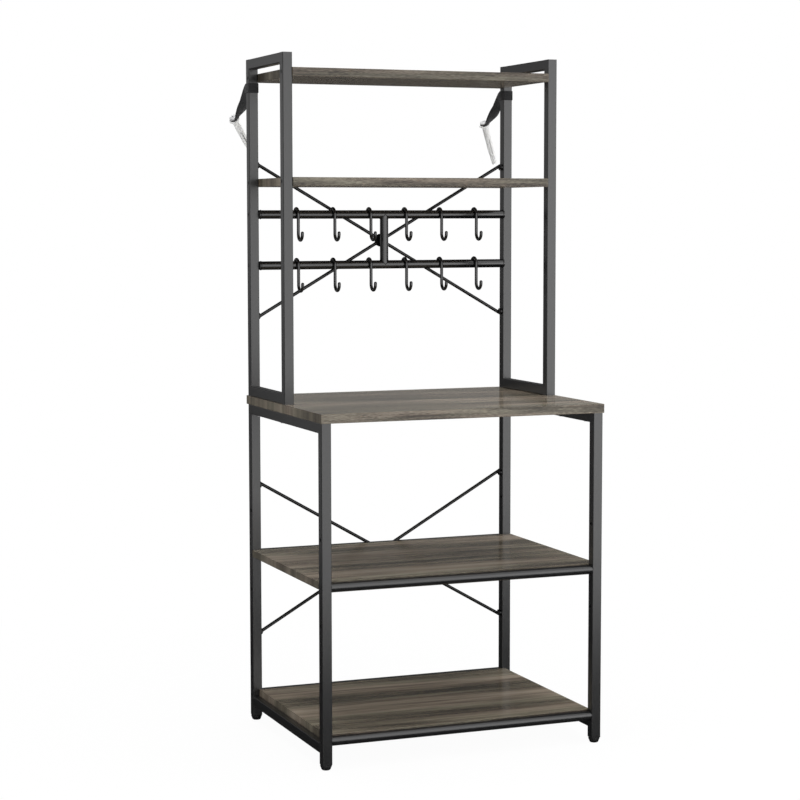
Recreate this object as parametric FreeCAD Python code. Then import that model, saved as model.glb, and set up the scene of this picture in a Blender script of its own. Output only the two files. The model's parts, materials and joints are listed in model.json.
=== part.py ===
import FreeCAD, Part

# Bakers rack: square-tube side frames, wood boards, a hutch with a hook rail, and S-hooks.
# Millimetres, +Z up. The origin is on the floor at the centre of the four feet, the front
# faces -Y and the wall is on the +Y side.

import math
import os

Vector = FreeCAD.Vector
X = Vector(1, 0, 0)
Y = Vector(0, 1, 0)
Z = Vector(0, 0, 1)

# Overall size
RACK_WIDTH = 600.0
RACK_DEPTH = 462.0
HUTCH_DEPTH = 242.4
TUBE = 20.0
WALL = 1.2
TUBE_CORNER = 1.6
FOOT_HEIGHT = 10.5
LEG_TOP = 675.0
COUNTER_THICKNESS = 18.0
COUNTER_SIDE_OVERHANG = 1.2
COUNTER_FRONT_OVERHANG = 3.8
COUNTER_REAR_OVERHANG = 8.0
RACK_HEIGHT = 1393.0
BOARD_EDGE = 0.8

# Places that follow from the overall size
LEG_X = RACK_WIDTH / 2 - TUBE / 2
INNER_X = RACK_WIDTH / 2 - TUBE
OUTER_X = RACK_WIDTH / 2
REAR_Y = RACK_DEPTH / 2
REAR_LEG_Y = REAR_Y - TUBE / 2
FRONT_LEG_Y = -REAR_LEG_Y
LEG_GAP_Y = REAR_Y - TUBE
HUTCH_FRONT_Y = REAR_Y - HUTCH_DEPTH
HUTCH_POST_Y = HUTCH_FRONT_Y + TUBE / 2
COUNTER_TOP = LEG_TOP + COUNTER_THICKNESS

# Lower shelves and their rails
SIDE_RAIL_BOTTOM = 31.3
SHELF_THICKNESS = 14.6
BOTTOM_SHELF_Z = SIDE_RAIL_BOTTOM + TUBE
MIDDLE_SHELF_Z = 352.2
SHELF_PLAY = 0.3
BOTTOM_SHELF_BEARING = 6.0
ROUND_RAIL_R = 9.4
ROUND_RAIL_RISE = 4.0
REAR_RAIL_DEPTH = 14.0
REAR_RAIL_HEIGHT = 20.0
RAIL_PLUG = 14.0
TAB_X = 150.0
TAB_WIDTH = 30.0
TAB_THICKNESS = 2.0
TAB_REACH = 22.0
TAB_SCREW_INSET = 8.0
SPARE_LEVELS = (281.2, 449.8)

# Hutch shelves
SECOND_SHELF_Z = 1130.0
TOP_SHELF_Z = 1346.5
HUTCH_SHELF_THICKNESS = 17.0
HUTCH_SHELF_PROUD = 3.0
SECOND_SHELF_REAR_Y = REAR_Y - 7.5

# Hook rail
BAR_R = 9.0
BAR_Y = REAR_Y - 20.5
UPPER_BAR_Z = 1073.0
LOWER_BAR_Z = 966.4
END_PLATE = 3.0
HOOK_COUNT = 6
HOOK_PITCH = 81.5
HOOK_ROW_X = 6.0
HOOK_WIRE_R = 3.3
HOOK_LOOP_R = BAR_R + 0.2 + HOOK_WIRE_R
HOOK_CURL_R = 13.0
HOOK_DROP = 57.0
HOOK_TAIL_ANGLE = 25.0
HOOK_TIP = 2.0

# X braces behind the hutch and behind the lower shelves
ROD_R = 3.5
ROD_Y = REAR_Y - 2.2
BRACE_HALF_HEIGHT = 161.3
UPPER_BRACE_Z = 1018.0
LOWER_BRACE_Z = 346.6
HUB_R = 14.0
PAD_R = 6.5
PAD_THICKNESS = 3.0
PAD_SHIFT = 4.0
PAD_BOLT_Y = REAR_Y - 10.5
HUB_EDGE = 0.8
BRACE_HEAD = (4.2, 2.4)

# Bolts and screws; a head is (radius, height)
BOLT_R = 3.0
BOLT_HEAD = (5.2, 3.0)
BOLT_HOLE_R = 3.3
SINK_R = 4.6
SINK_DEPTH = WALL
BOLT_END_GAP = 2.0
SCREW_R = 2.0
SCREW_HEAD = (4.0, 2.2)
HEAD_CROWN_SHARE = 0.6
HEAD_RIM_SHARE = 0.45
NUT_R = 4.5
NUT_LENGTH = 9.0
HUTCH_BOLT_Y = (30.0, 180.0)
HUTCH_SHELF_BOLT_LENGTH = 50.0
HUTCH_SHELF_REAR_BOLT_SHIFT = 3.0
COUNTER_SCREW_Y = (-175.0, -60.0)
COUNTER_SCREW_BITE = 12.0
SHELF_SCREW_BITE = 10.0

# Levelling feet
FOOT_TOP_GAP = 0.3
FOOT_R = 11.4
FOOT_TAPER_R = 9.0
FOOT_SOLE_R = 7.6
FOOT_SOLE_EDGE_Z = 1.6
FOOT_SKIRT_Z = 5.2
FOOT_SKIRT_R = FOOT_R - 1.0
FOOT_GROOVE_Z = (5.8, 6.4)
FOOT_GROOVE_R = FOOT_R - 1.6
FOOT_FLANGE_Z = 7.0
FOOT_FLANGE_EDGE = 0.6
STUD_R = 4.0
STUD_CLEARANCE = 0.05
STUD_TOP = 34.0
INSERT_TOP = 38.0
INSERT_ROOF = 1.5

# Anti-tip straps; a pair in braces gives the left side (-1) and the right side (1)
STRAP_WIDTH = 20.0
STRAP_THICKNESS = 1.0
STRAP_CLEARANCE = 0.15
STRAP_CORNER = 1.4
STRAP_BOTTOM = {-1: 1324.5, 1: 1320.6}
TWIST_SHARES = (0.0, 0.2, 0.4, 0.6, 0.8)
CLOSING_RATE = 1.5
HOLE_REACH = {-1: 120.0, 1: 107.0}
HOLE_Z = {-1: 1277.5, 1: 1274.5}
TONGUE_LENGTH = 9.6
STRAP_END_WIDTH = 18.0
PLUG_R = 7.0
PLUG_TIP_R = 5.4
PLUG_TIP_EDGE = 1.5
PLUG_LENGTH = 101.0
PLUG_TAPER_START = 60.0
PLUG_GROOVES = (10.0, 15.0, 20.0, 25.0)
PLUG_GROOVE_WIDTH = 1.6
PLUG_GROOVE_R = 6.4
PLUG_SLOT = (36.0, 84.0)
PLUG_SLOT_WIDTH = 1.4
COLLAR_R = 11.6
COLLAR_HEIGHT = 3.6
WALL_SCREW_R = 2.5
WALL_SCREW_LENGTH = 80.0
WALL_SCREW_HEAD = (8.6, 4.4)
PLUG_LEAN = {-1: Vector(0.549, 0.408, -0.728), 1: Vector(0.40, 0.33, -0.855)}

SIDES = {"left": -1, "right": 1}
SAME_DIRECTION = 0.99


def export(shape, node):
    """Write one node's STEP file after checking that its solids are sound."""
    if not shape.isValid() or not shape.Solids:
        raise ValueError(node + " isn't a valid solid")
    shape.exportStep("parts/" + node + ".step")


def block(x, y, z, rounded_along=None, radius=TUBE_CORNER):
    """Make a box from its (low, high) spans, with the edges along one direction rounded."""
    low = Vector(min(x), min(y), min(z))
    high = Vector(max(x), max(y), max(z))
    size = high - low
    shape = Part.makeBox(size.x, size.y, size.z, low)
    if rounded_along is None:
        return shape
    edges = [edge for edge in shape.Edges
             if abs(edge.tangentAt(edge.FirstParameter).dot(rounded_along)) > SAME_DIRECTION]
    return shape.makeFillet(radius, edges)


def span(centre, width):
    """Give the low and high ends of a width about its centre."""
    return centre - width / 2, centre + width / 2


def rod(start, end, radius):
    """Make a round bar from one point to another."""
    run = end - start
    return Part.makeCylinder(radius, run.Length, start, run)


def fuse(shapes):
    """Join shapes into one solid without seams between them."""
    return shapes[0].multiFuse(shapes[1:]).removeSplitter()


def group(shapes):
    """Keep separate solids together in one node."""
    return Part.makeCompound(shapes)


def at_right_angle(points, origin, out, along):
    """Place flat (distance, height) points in the plane through an origin."""
    return [origin + out * distance + along * height for distance, height in points]


def turned(points, origin, axis):
    """Turn a closed profile of (radius, height) points about an axis."""
    out = axis.cross(Y if abs(axis.x) > abs(axis.y) else X).normalize()
    corners = at_right_angle(points, origin, out, axis)
    face = Part.Face(Part.makePolygon(corners + corners[:1]))
    return face.revolve(origin, axis, 360)


def sunk_bolt(face_point, inward, length, radius=BOLT_R):
    """Make a bolt whose cone-shaped head lies flush in the face it enters."""
    profile = [(0, 0), (SINK_R, 0), (radius, SINK_DEPTH), (radius, length), (0, length)]
    return turned(profile, face_point, inward)


def pan_bolt(seat, inward, length, radius=BOLT_R, head=BOLT_HEAD):
    """Make a bolt whose low round head stands on the face it enters."""
    head_r, head_height = head
    profile = [(0, -head_height), (head_r * HEAD_CROWN_SHARE, -head_height),
               (head_r, -head_height * HEAD_RIM_SHARE), (head_r, 0),
               (radius, 0), (radius, length), (0, length)]
    return turned(profile, seat, inward)


def sunk_hole(face_point, inward, length):
    """Make the cutter for a clearance hole with its mouth sunk for a bolt head."""
    profile = [(0, 0), (SINK_R, 0), (BOLT_HOLE_R, SINK_DEPTH), (BOLT_HOLE_R, length), (0, length)]
    return turned(profile, face_point, inward)


def rivet_nut(mouth, inward):
    """Make the threaded sleeve that is set in a tube wall, from the wall's inner side."""
    outer = Part.makeCylinder(NUT_R, NUT_LENGTH, mouth, inward)
    return outer.cut(Part.makeCylinder(BOLT_R, NUT_LENGTH, mouth, inward))


# Frames ------------------------------------------------------------------------------------

def rail_bolt_places(side):
    """List the outer-face points of one side's rail bolts, spare levels left out."""
    return [Vector(side * OUTER_X, y, z)
            for shelf_z in (BOTTOM_SHELF_Z, MIDDLE_SHELF_Z)
            for y, z in ((FRONT_LEG_Y, shelf_z + ROUND_RAIL_RISE),
                         (REAR_Y - TUBE + REAR_RAIL_DEPTH / 2, shelf_z + ROUND_RAIL_RISE))]


def spare_hole_places(side):
    """List the outer-face points of one side's empty shelf holes."""
    rear_y = REAR_Y - TUBE + REAR_RAIL_DEPTH / 2
    return [Vector(side * OUTER_X, y, z) for z in SPARE_LEVELS for y in (FRONT_LEG_Y, rear_y)]


def lower_frame(side):
    """Weld two legs, a top rail and a bottom rail into one lower side frame."""
    centre = side * LEG_X
    x = span(centre, TUBE)
    inner_x = span(centre, TUBE - 2 * WALL)
    solids = []
    cavities = []
    for leg_y in (FRONT_LEG_Y, REAR_LEG_Y):
        solids.append(block(x, span(leg_y, TUBE), (FOOT_HEIGHT, LEG_TOP), Z))
        cavities.append(block(inner_x, span(leg_y, TUBE - 2 * WALL), (FOOT_HEIGHT, LEG_TOP - WALL)))
    for rail_z in (SIDE_RAIL_BOTTOM + TUBE / 2, LEG_TOP - TUBE / 2):
        solids.append(block(x, (FRONT_LEG_Y, REAR_LEG_Y), span(rail_z, TUBE), Y))
        cavities.append(block(inner_x, (-LEG_GAP_Y, LEG_GAP_Y), span(rail_z, TUBE - 2 * WALL)))
    inward = X * -side
    holes = [sunk_hole(place, inward, TUBE) for place in rail_bolt_places(side) + spare_hole_places(side)]
    return fuse(solids).cut(cavities + holes)


def upper_frame(side):
    """Weld four tubes into one closed rectangle that stands on the countertop."""
    centre = side * LEG_X
    x = span(centre, TUBE)
    inner_x = span(centre, TUBE - 2 * WALL)
    solids = []
    cavities = []
    for post_y in (HUTCH_POST_Y, REAR_LEG_Y):
        solids.append(block(x, span(post_y, TUBE), (COUNTER_TOP, RACK_HEIGHT), Z))
        cavities.append(block(inner_x, span(post_y, TUBE - 2 * WALL),
                              (COUNTER_TOP + WALL, RACK_HEIGHT - WALL)))
    for rail_z in (COUNTER_TOP + TUBE / 2, RACK_HEIGHT - TUBE / 2):
        solids.append(block(x, (HUTCH_POST_Y, REAR_LEG_Y), span(rail_z, TUBE), Y))
        cavities.append(block(inner_x, (HUTCH_FRONT_Y + TUBE, LEG_GAP_Y), span(rail_z, TUBE - 2 * WALL)))
    return fuse(solids).cut(cavities)


# Boards ------------------------------------------------------------------------------------

def board(x, y, z):
    """Make a shelf board with its long edges eased."""
    return block(x, y, z, X, BOARD_EDGE)


def countertop():
    """Make the board that joins the lower frames and carries the hutch."""
    half = OUTER_X + COUNTER_SIDE_OVERHANG
    return board((-half, half), (-REAR_Y - COUNTER_FRONT_OVERHANG, REAR_Y + COUNTER_REAR_OVERHANG),
                 (LEG_TOP, COUNTER_TOP))


def lower_shelf(half_width, bottom):
    """Make a lower shelf board, which fits between the legs from front to rear."""
    half_depth = LEG_GAP_Y - SHELF_PLAY
    return board((-half_width, half_width), (-half_depth, half_depth), (bottom, bottom + SHELF_THICKNESS))


def hutch_shelf(bottom, rear_y):
    """Make a hutch shelf board, which fits between the upper frames."""
    return board((-INNER_X, INNER_X), (HUTCH_FRONT_Y - HUTCH_SHELF_PROUD, rear_y),
                 (bottom, bottom + HUTCH_SHELF_THICKNESS))


# Rails under the lower shelves -------------------------------------------------------------

def shelf_tab(x, y_from, y_to, shelf_z):
    """Make a small plate under a shelf board for one screw."""
    return block(span(x, TAB_WIDTH), (y_from, y_to), (shelf_z - TAB_THICKNESS, shelf_z))


def rail_bores(y, z):
    """Make the cutters for the threaded ends of a rail."""
    return [rod(Vector(side * INNER_X, y, z), Vector(side * (INNER_X - RAIL_PLUG), y, z), BOLT_R)
            for side in SIDES.values()]


def front_rail(shelf_z):
    """Make a round front rail with end plugs and two screw tabs."""
    y = FRONT_LEG_Y
    z = shelf_z + ROUND_RAIL_RISE
    tube = rod(Vector(-INNER_X, y, z), Vector(INNER_X, y, z), ROUND_RAIL_R)
    hollow_x = INNER_X - RAIL_PLUG
    hollow = rod(Vector(-hollow_x, y, z), Vector(hollow_x, y, z), ROUND_RAIL_R - WALL)
    tab_end = -LEG_GAP_Y + TAB_REACH
    tabs = [shelf_tab(x, y + ROUND_RAIL_R / 2, tab_end, shelf_z) for x in (-TAB_X, TAB_X)]
    return fuse([tube] + tabs).cut([hollow] + rail_bores(y, z))


def rear_rail(shelf_z):
    """Make a flat-sided rear rail with end plugs and two screw tabs."""
    front_y = LEG_GAP_Y
    y = span(front_y + REAR_RAIL_DEPTH / 2, REAR_RAIL_DEPTH)
    top = shelf_z + SHELF_THICKNESS
    centre_z = top - REAR_RAIL_HEIGHT / 2
    tube = block((-INNER_X, INNER_X), y, span(centre_z, REAR_RAIL_HEIGHT), X)
    hollow_x = INNER_X - RAIL_PLUG
    hollow = block((-hollow_x, hollow_x), span(front_y + REAR_RAIL_DEPTH / 2, REAR_RAIL_DEPTH - 2 * WALL),
                   span(centre_z, REAR_RAIL_HEIGHT - 2 * WALL))
    tabs = [shelf_tab(x, front_y - TAB_REACH, front_y + WALL / 2, shelf_z) for x in (-TAB_X, TAB_X)]
    bores = rail_bores(front_y + REAR_RAIL_DEPTH / 2, shelf_z + ROUND_RAIL_RISE)
    return fuse([tube] + tabs).cut([hollow] + bores)


# Hook rail ---------------------------------------------------------------------------------

def end_plate(side, bar_z):
    """Make the link-shaped plate that is welded on a bar's end and bolted to the post."""
    face = side * INNER_X
    inner = face - side * END_PLATE
    front = rod(Vector(inner, BAR_Y, bar_z), Vector(face, BAR_Y, bar_z), BAR_R)
    rear = rod(Vector(inner, REAR_LEG_Y, bar_z), Vector(face, REAR_LEG_Y, bar_z), BAR_R)
    middle = block((inner, face), (BAR_Y, REAR_LEG_Y), span(bar_z, 2 * BAR_R))
    return fuse([front, middle, rear])


def hook_rail_frame():
    """Weld two bars and one upright, its ends cut to fit round the bars, into the hook rail."""
    bar_end = INNER_X - END_PLATE
    bars = []
    bar_hollows = []
    plates = []
    for bar_z in (UPPER_BAR_Z, LOWER_BAR_Z):
        ends = Vector(-bar_end, BAR_Y, bar_z), Vector(bar_end, BAR_Y, bar_z)
        bars.append(rod(*ends, BAR_R))
        bar_hollows.append(rod(*ends, BAR_R - WALL))
        plates += [end_plate(side, bar_z) for side in SIDES.values()]
    upright_ends = Vector(0, BAR_Y, LOWER_BAR_Z), Vector(0, BAR_Y, UPPER_BAR_Z)
    upright = rod(*upright_ends, BAR_R)
    upright_hollow = rod(*upright_ends, BAR_R - WALL).cut(bars)
    return fuse(bars + plates + [upright]).cut(bar_hollows + [upright_hollow])


def wire_bend(start, centre, degrees):
    """Bend wire about a centre, in a hook's plane, from a start point towards the back."""
    section = Part.Face(Part.Wire(Part.makeCircle(HOOK_WIRE_R, start, X.cross(start - centre))))
    return section.revolve(centre, X, degrees)


def wire_end(end, direction):
    """Round off the end of a wire."""
    return Part.makeSphere(HOOK_WIRE_R, end, direction, 0, 90, 360)


def s_hook(x, bar_z):
    """Bend one S-hook from round wire: a loop over the bar, a straight stem and an open curl."""
    bar = Vector(x, BAR_Y, bar_z)
    stem_top = bar - Y * HOOK_LOOP_R
    stem_foot = stem_top - Z * (HOOK_DROP - HOOK_WIRE_R - HOOK_CURL_R)
    curl_end = stem_foot - Y * (2 * HOOK_CURL_R)
    tip = curl_end + Z * HOOK_TIP
    loop_turn = 180 + HOOK_TAIL_ANGLE
    tail_angle = math.radians(HOOK_TAIL_ANGLE)
    tail = bar + (Y * math.cos(tail_angle) - Z * math.sin(tail_angle)) * HOOK_LOOP_R
    tail_direction = (Y * math.sin(tail_angle) + Z * math.cos(tail_angle)) * -1
    return fuse([wire_bend(stem_top, bar, -loop_turn), rod(stem_top, stem_foot, HOOK_WIRE_R),
                 wire_bend(stem_foot, stem_foot - Y * HOOK_CURL_R, -180),
                 rod(curl_end, tip, HOOK_WIRE_R), wire_end(tip, Z), wire_end(tail, tail_direction)])


# X braces ----------------------------------------------------------------------------------

def brace_end(side, up, centre_z):
    """Give the middle of a rod's end, where it meets the inner face of a post."""
    return Vector(side * INNER_X, ROD_Y, centre_z + up * BRACE_HALF_HEIGHT)


def pad_centre(side, up, centre_z):
    """Give the centre of the bolt in a rod's flattened end."""
    return Vector(side * INNER_X, PAD_BOLT_Y, centre_z + up * (BRACE_HALF_HEIGHT - PAD_SHIFT))


def brace_pad(side, up, centre_z):
    """Make the flattened end of a brace rod, which lies against the post."""
    bolt = pad_centre(side, up, centre_z)
    inward = X * -side
    rear = Vector(bolt.x, ROD_Y + ROD_R - PAD_R, bolt.z)
    middle = block((bolt.x, bolt.x - side * PAD_THICKNESS), (bolt.y, rear.y), span(bolt.z, 2 * PAD_R))
    discs = [Part.makeCylinder(PAD_R, PAD_THICKNESS, place, inward) for place in (bolt, rear)]
    return fuse([middle] + discs)


def brace_arm(side, up, centre_z):
    """Make one arm of an X brace, from the rim of the hub to its flattened end."""
    centre = Vector(0, ROD_Y, centre_z)
    end = brace_end(side, up, centre_z)
    beyond = end + (end - centre).normalize() * (2 * ROD_R)
    post = block((side * INNER_X, side * OUTER_X), span(ROD_Y, TUBE), span(end.z, 2 * TUBE))
    straight = rod(centre, beyond, ROD_R).cut(post)
    return fuse([straight, brace_pad(side, up, centre_z)]).cut(brace_hub_disc(centre_z))


def brace_hub_disc(centre_z):
    """Make the disc that the four arms of an X brace are welded to."""
    half = ROD_R
    profile = [(0, -half), (HUB_R - HUB_EDGE, -half), (HUB_R, HUB_EDGE - half), (HUB_R, half - HUB_EDGE),
               (HUB_R - HUB_EDGE, half), (0, half)]
    return turned(profile, Vector(0, ROD_Y, centre_z), Y)


def brace_bolts(centre_z):
    """Make the four bolts that hold an X brace to the posts."""
    length = PAD_THICKNESS + WALL + NUT_LENGTH
    return [pan_bolt(pad_centre(side, up, centre_z) - X * (side * PAD_THICKNESS), X * side,
                     length, head=BRACE_HEAD)
            for side in SIDES.values() for up in (-1, 1)]


# Feet --------------------------------------------------------------------------------------

def foot_places():
    """List the name and floor point of each foot."""
    depths = {"front": FRONT_LEG_Y, "rear": REAR_LEG_Y}
    return [(depth + "_" + name, Vector(side * LEG_X, depths[depth], 0))
            for depth in depths for name, side in SIDES.items()]


def levelling_foot(place):
    """Turn a round foot with a tapered skirt, a groove and its stud."""
    top = FOOT_HEIGHT - FOOT_TOP_GAP
    groove_bottom, groove_top = FOOT_GROOVE_Z
    profile = [(0, 0), (FOOT_SOLE_R, 0), (FOOT_TAPER_R, FOOT_SOLE_EDGE_Z), (FOOT_SKIRT_R, FOOT_SKIRT_Z),
               (FOOT_GROOVE_R, groove_bottom), (FOOT_GROOVE_R, groove_top), (FOOT_R, FOOT_FLANGE_Z),
               (FOOT_R, top - FOOT_FLANGE_EDGE), (FOOT_R - FOOT_FLANGE_EDGE, top),
               (STUD_R, top), (STUD_R, STUD_TOP), (0, STUD_TOP)]
    return turned(profile, place, Z)


def leg_insert(place):
    """Make the plastic insert in a leg's open end, bored for the stud of the foot."""
    inner = TUBE - 2 * WALL
    plug = block(span(place.x, inner), span(place.y, inner), (FOOT_HEIGHT, INSERT_TOP))
    return plug.cut(rod(place, place + Z * (INSERT_TOP - INSERT_ROOF), STUD_R + STUD_CLEARANCE))


# Anti-tip straps ---------------------------------------------------------------------------

def strap_section(centre, across, normal, width, thickness):
    """Make a rectangular section of webbing about its centre."""
    a = across * (width / 2)
    n = normal * (thickness / 2)
    corners = [centre - a - n, centre + a - n, centre + a + n, centre - a + n]
    return Part.makePolygon(corners + corners[:1])


def plug_direction(side):
    """Give the unit direction in which a wall plug hangs from its strap."""
    return Vector(PLUG_LEAN[side]).normalize()


def strap_hole(side):
    """Give the middle of the hole at the strap's free end."""
    return Vector(side * LEG_X, REAR_Y + HOLE_REACH[side], HOLE_Z[side])


def square_to(direction, run):
    """Turn a direction until it is square to a run."""
    return (direction - run * direction.dot(run)).normalize()


def strap_root(side):
    """Give the point at the back of the post from which both layers set out."""
    return Vector(side * LEG_X, REAR_Y + STRAP_CLEARANCE, STRAP_BOTTOM[side] + STRAP_WIDTH / 2)


def tongue_frame(side):
    """Give the start, across and run directions of the flat tongue with the hole."""
    hole = strap_hole(side)
    screw_axis = plug_direction(side)
    run = square_to(hole - strap_root(side), screw_axis)
    return hole - run * TONGUE_LENGTH, square_to(square_to(X * -1, screw_axis), run), run


def strap_layer(side, layer_side):
    """Make one layer of webbing, which twists from the flank of the post to the tongue."""
    root = strap_root(side)
    tongue, tongue_across, tongue_run = tongue_frame(side)
    run = (tongue - root).normalize()
    upright = square_to(Z, run)
    twist = FreeCAD.Rotation(upright, square_to(tongue_across, run))
    flank = TUBE / 2 + STRAP_CLEARANCE + STRAP_THICKNESS / 2
    meet = STRAP_THICKNESS / 2
    sections = []
    for share in TWIST_SHARES:
        turn = FreeCAD.Rotation(twist.Axis, math.degrees(twist.Angle) * share)
        across = turn.multVec(upright) if share else Z
        normal = turn.multVec(run.cross(upright))
        apart = meet + (flank - meet) * (1 - share) ** CLOSING_RATE
        centre = root + (tongue - root) * share + normal * (layer_side * apart)
        width = STRAP_WIDTH + (STRAP_END_WIDTH - STRAP_WIDTH) * share
        sections.append(strap_section(centre, across, normal, width, STRAP_THICKNESS))
    normal = tongue_run.cross(tongue_across)
    sections.append(strap_section(tongue + normal * (layer_side * meet), tongue_across, normal,
                                  STRAP_END_WIDTH, STRAP_THICKNESS))
    return Part.makeLoft(sections, True, True)


def wall_strap(side):
    """Make a strap: a loop round the post, two twisted layers and a flat tongue with a hole."""
    centre_x = side * LEG_X
    inner = TUBE / 2 + STRAP_CLEARANCE
    outer = inner + STRAP_THICKNESS
    z = (STRAP_BOTTOM[side], STRAP_BOTTOM[side] + STRAP_WIDTH)
    ring = block(span(centre_x, 2 * outer), span(REAR_LEG_Y, 2 * outer), z, Z, STRAP_CORNER)
    ring = ring.cut(block(span(centre_x, 2 * inner), span(REAR_LEG_Y, 2 * inner), z))
    layers = [strap_layer(side, layer_side) for layer_side in (-1, 1)]
    tongue, across, run = tongue_frame(side)
    hole = strap_hole(side)
    down = plug_direction(side)
    flat = Part.makeLoft([strap_section(centre, across, down, STRAP_END_WIDTH, 2 * STRAP_THICKNESS)
                          for centre in (tongue, hole)], True, True)
    top = hole - down * STRAP_THICKNESS
    end_disc = Part.makeCylinder(STRAP_END_WIDTH / 2, 2 * STRAP_THICKNESS, top, down)
    bore = Part.makeCylinder(WALL_SCREW_R, 2 * STRAP_THICKNESS, top, down)
    return fuse([ring, flat, end_disc] + layers).cut(bore)


def wall_screw(side):
    """Make the pan-head screw that hangs in the strap's hole."""
    down = plug_direction(side)
    seat = strap_hole(side) - down * STRAP_THICKNESS
    return pan_bolt(seat, down, WALL_SCREW_LENGTH, WALL_SCREW_R, WALL_SCREW_HEAD)


def wall_plug(side):
    """Make the tapered plug on the screw, with its collar, grip grooves and spreading slot."""
    down = plug_direction(side)
    mouth = strap_hole(side) + down * STRAP_THICKNESS
    profile = [(0, 0), (COLLAR_R, 0), (COLLAR_R, COLLAR_HEIGHT), (PLUG_R, COLLAR_HEIGHT)]
    for groove in PLUG_GROOVES:
        low, high = span(groove, PLUG_GROOVE_WIDTH)
        profile += [(PLUG_R, low), (PLUG_GROOVE_R, groove), (PLUG_R, high)]
    profile += [(PLUG_R, PLUG_TAPER_START), (PLUG_TIP_R, PLUG_LENGTH - PLUG_TIP_EDGE),
                (PLUG_TIP_R - PLUG_TIP_EDGE, PLUG_LENGTH), (0, PLUG_LENGTH)]
    body = turned(profile, mouth, down)
    bore = Part.makeCylinder(WALL_SCREW_R, WALL_SCREW_LENGTH, mouth, down)
    slot_start, slot_end = PLUG_SLOT
    slot = block(span(0, PLUG_SLOT_WIDTH), span(0, 2 * COLLAR_R), (slot_start, slot_end))
    slot.Placement = FreeCAD.Placement(mouth, FreeCAD.Rotation(Z, down))
    return body.cut([bore, slot])


# Fasteners ---------------------------------------------------------------------------------

def rail_bolts():
    """Make the flush bolts that run through the legs into the rails."""
    return [sunk_bolt(place, X * -side, TUBE + RAIL_PLUG - BOLT_END_GAP)
            for side in SIDES.values() for place in rail_bolt_places(side)]


def hutch_shelf_bolts():
    """Make the flush bolts that run through the hutch posts into the shelf ends."""
    return [sunk_bolt(Vector(side * OUTER_X, y, shelf_z + HUTCH_SHELF_THICKNESS / 2), X * -side,
                      HUTCH_SHELF_BOLT_LENGTH)
            for side in SIDES.values()
            for shelf_z in (SECOND_SHELF_Z, TOP_SHELF_Z)
            for y in (HUTCH_POST_Y, REAR_LEG_Y - HUTCH_SHELF_REAR_BOLT_SHIFT)]


def hook_rail_bolts():
    """Make the flush bolts that run through the rear posts into the hook rail's end plates."""
    return [sunk_bolt(Vector(side * OUTER_X, REAR_LEG_Y, bar_z), X * -side, TUBE + END_PLATE)
            for side in SIDES.values() for bar_z in (UPPER_BAR_Z, LOWER_BAR_Z)]


def hutch_bolt_places(side):
    """List the points under the lower top rail where the hutch bolts enter."""
    return [Vector(side * LEG_X, y, LEG_TOP - TUBE) for y in HUTCH_BOLT_Y]


def hutch_bolts():
    """Make the long bolts through the lower frame and the countertop into the hutch."""
    length = TUBE + COUNTER_THICKNESS + WALL + NUT_LENGTH
    return [pan_bolt(place, Z, length) for side in SIDES.values() for place in hutch_bolt_places(side)]


def countertop_screws():
    """Make the screws through the lower top rails into the underside of the countertop."""
    return [pan_bolt(Vector(side * LEG_X, y, LEG_TOP - TUBE), Z, TUBE + COUNTER_SCREW_BITE,
                     SCREW_R, SCREW_HEAD)
            for side in SIDES.values() for y in COUNTER_SCREW_Y]


def shelf_screws():
    """Make the short screws through the rail tabs into the two lower shelves."""
    inset = LEG_GAP_Y - TAB_REACH + TAB_SCREW_INSET
    return [pan_bolt(Vector(x, y, shelf_z - TAB_THICKNESS), Z, TAB_THICKNESS + SHELF_SCREW_BITE,
                     SCREW_R, SCREW_HEAD)
            for shelf_z in (BOTTOM_SHELF_Z, MIDDLE_SHELF_Z)
            for y in (-inset, inset) for x in (-TAB_X, TAB_X)]


def rivet_nuts():
    """Make the threaded sleeves of the hutch bolts and the brace bolts."""
    nuts = [rivet_nut(Vector(place.x, place.y, COUNTER_TOP + WALL), Z)
            for side in SIDES.values() for place in hutch_bolt_places(side)]
    nuts += [rivet_nut(pad_centre(side, up, centre_z) + X * (side * WALL), X * side)
             for centre_z in (UPPER_BRACE_Z, LOWER_BRACE_Z) for side in SIDES.values() for up in (-1, 1)]
    return nuts


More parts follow.
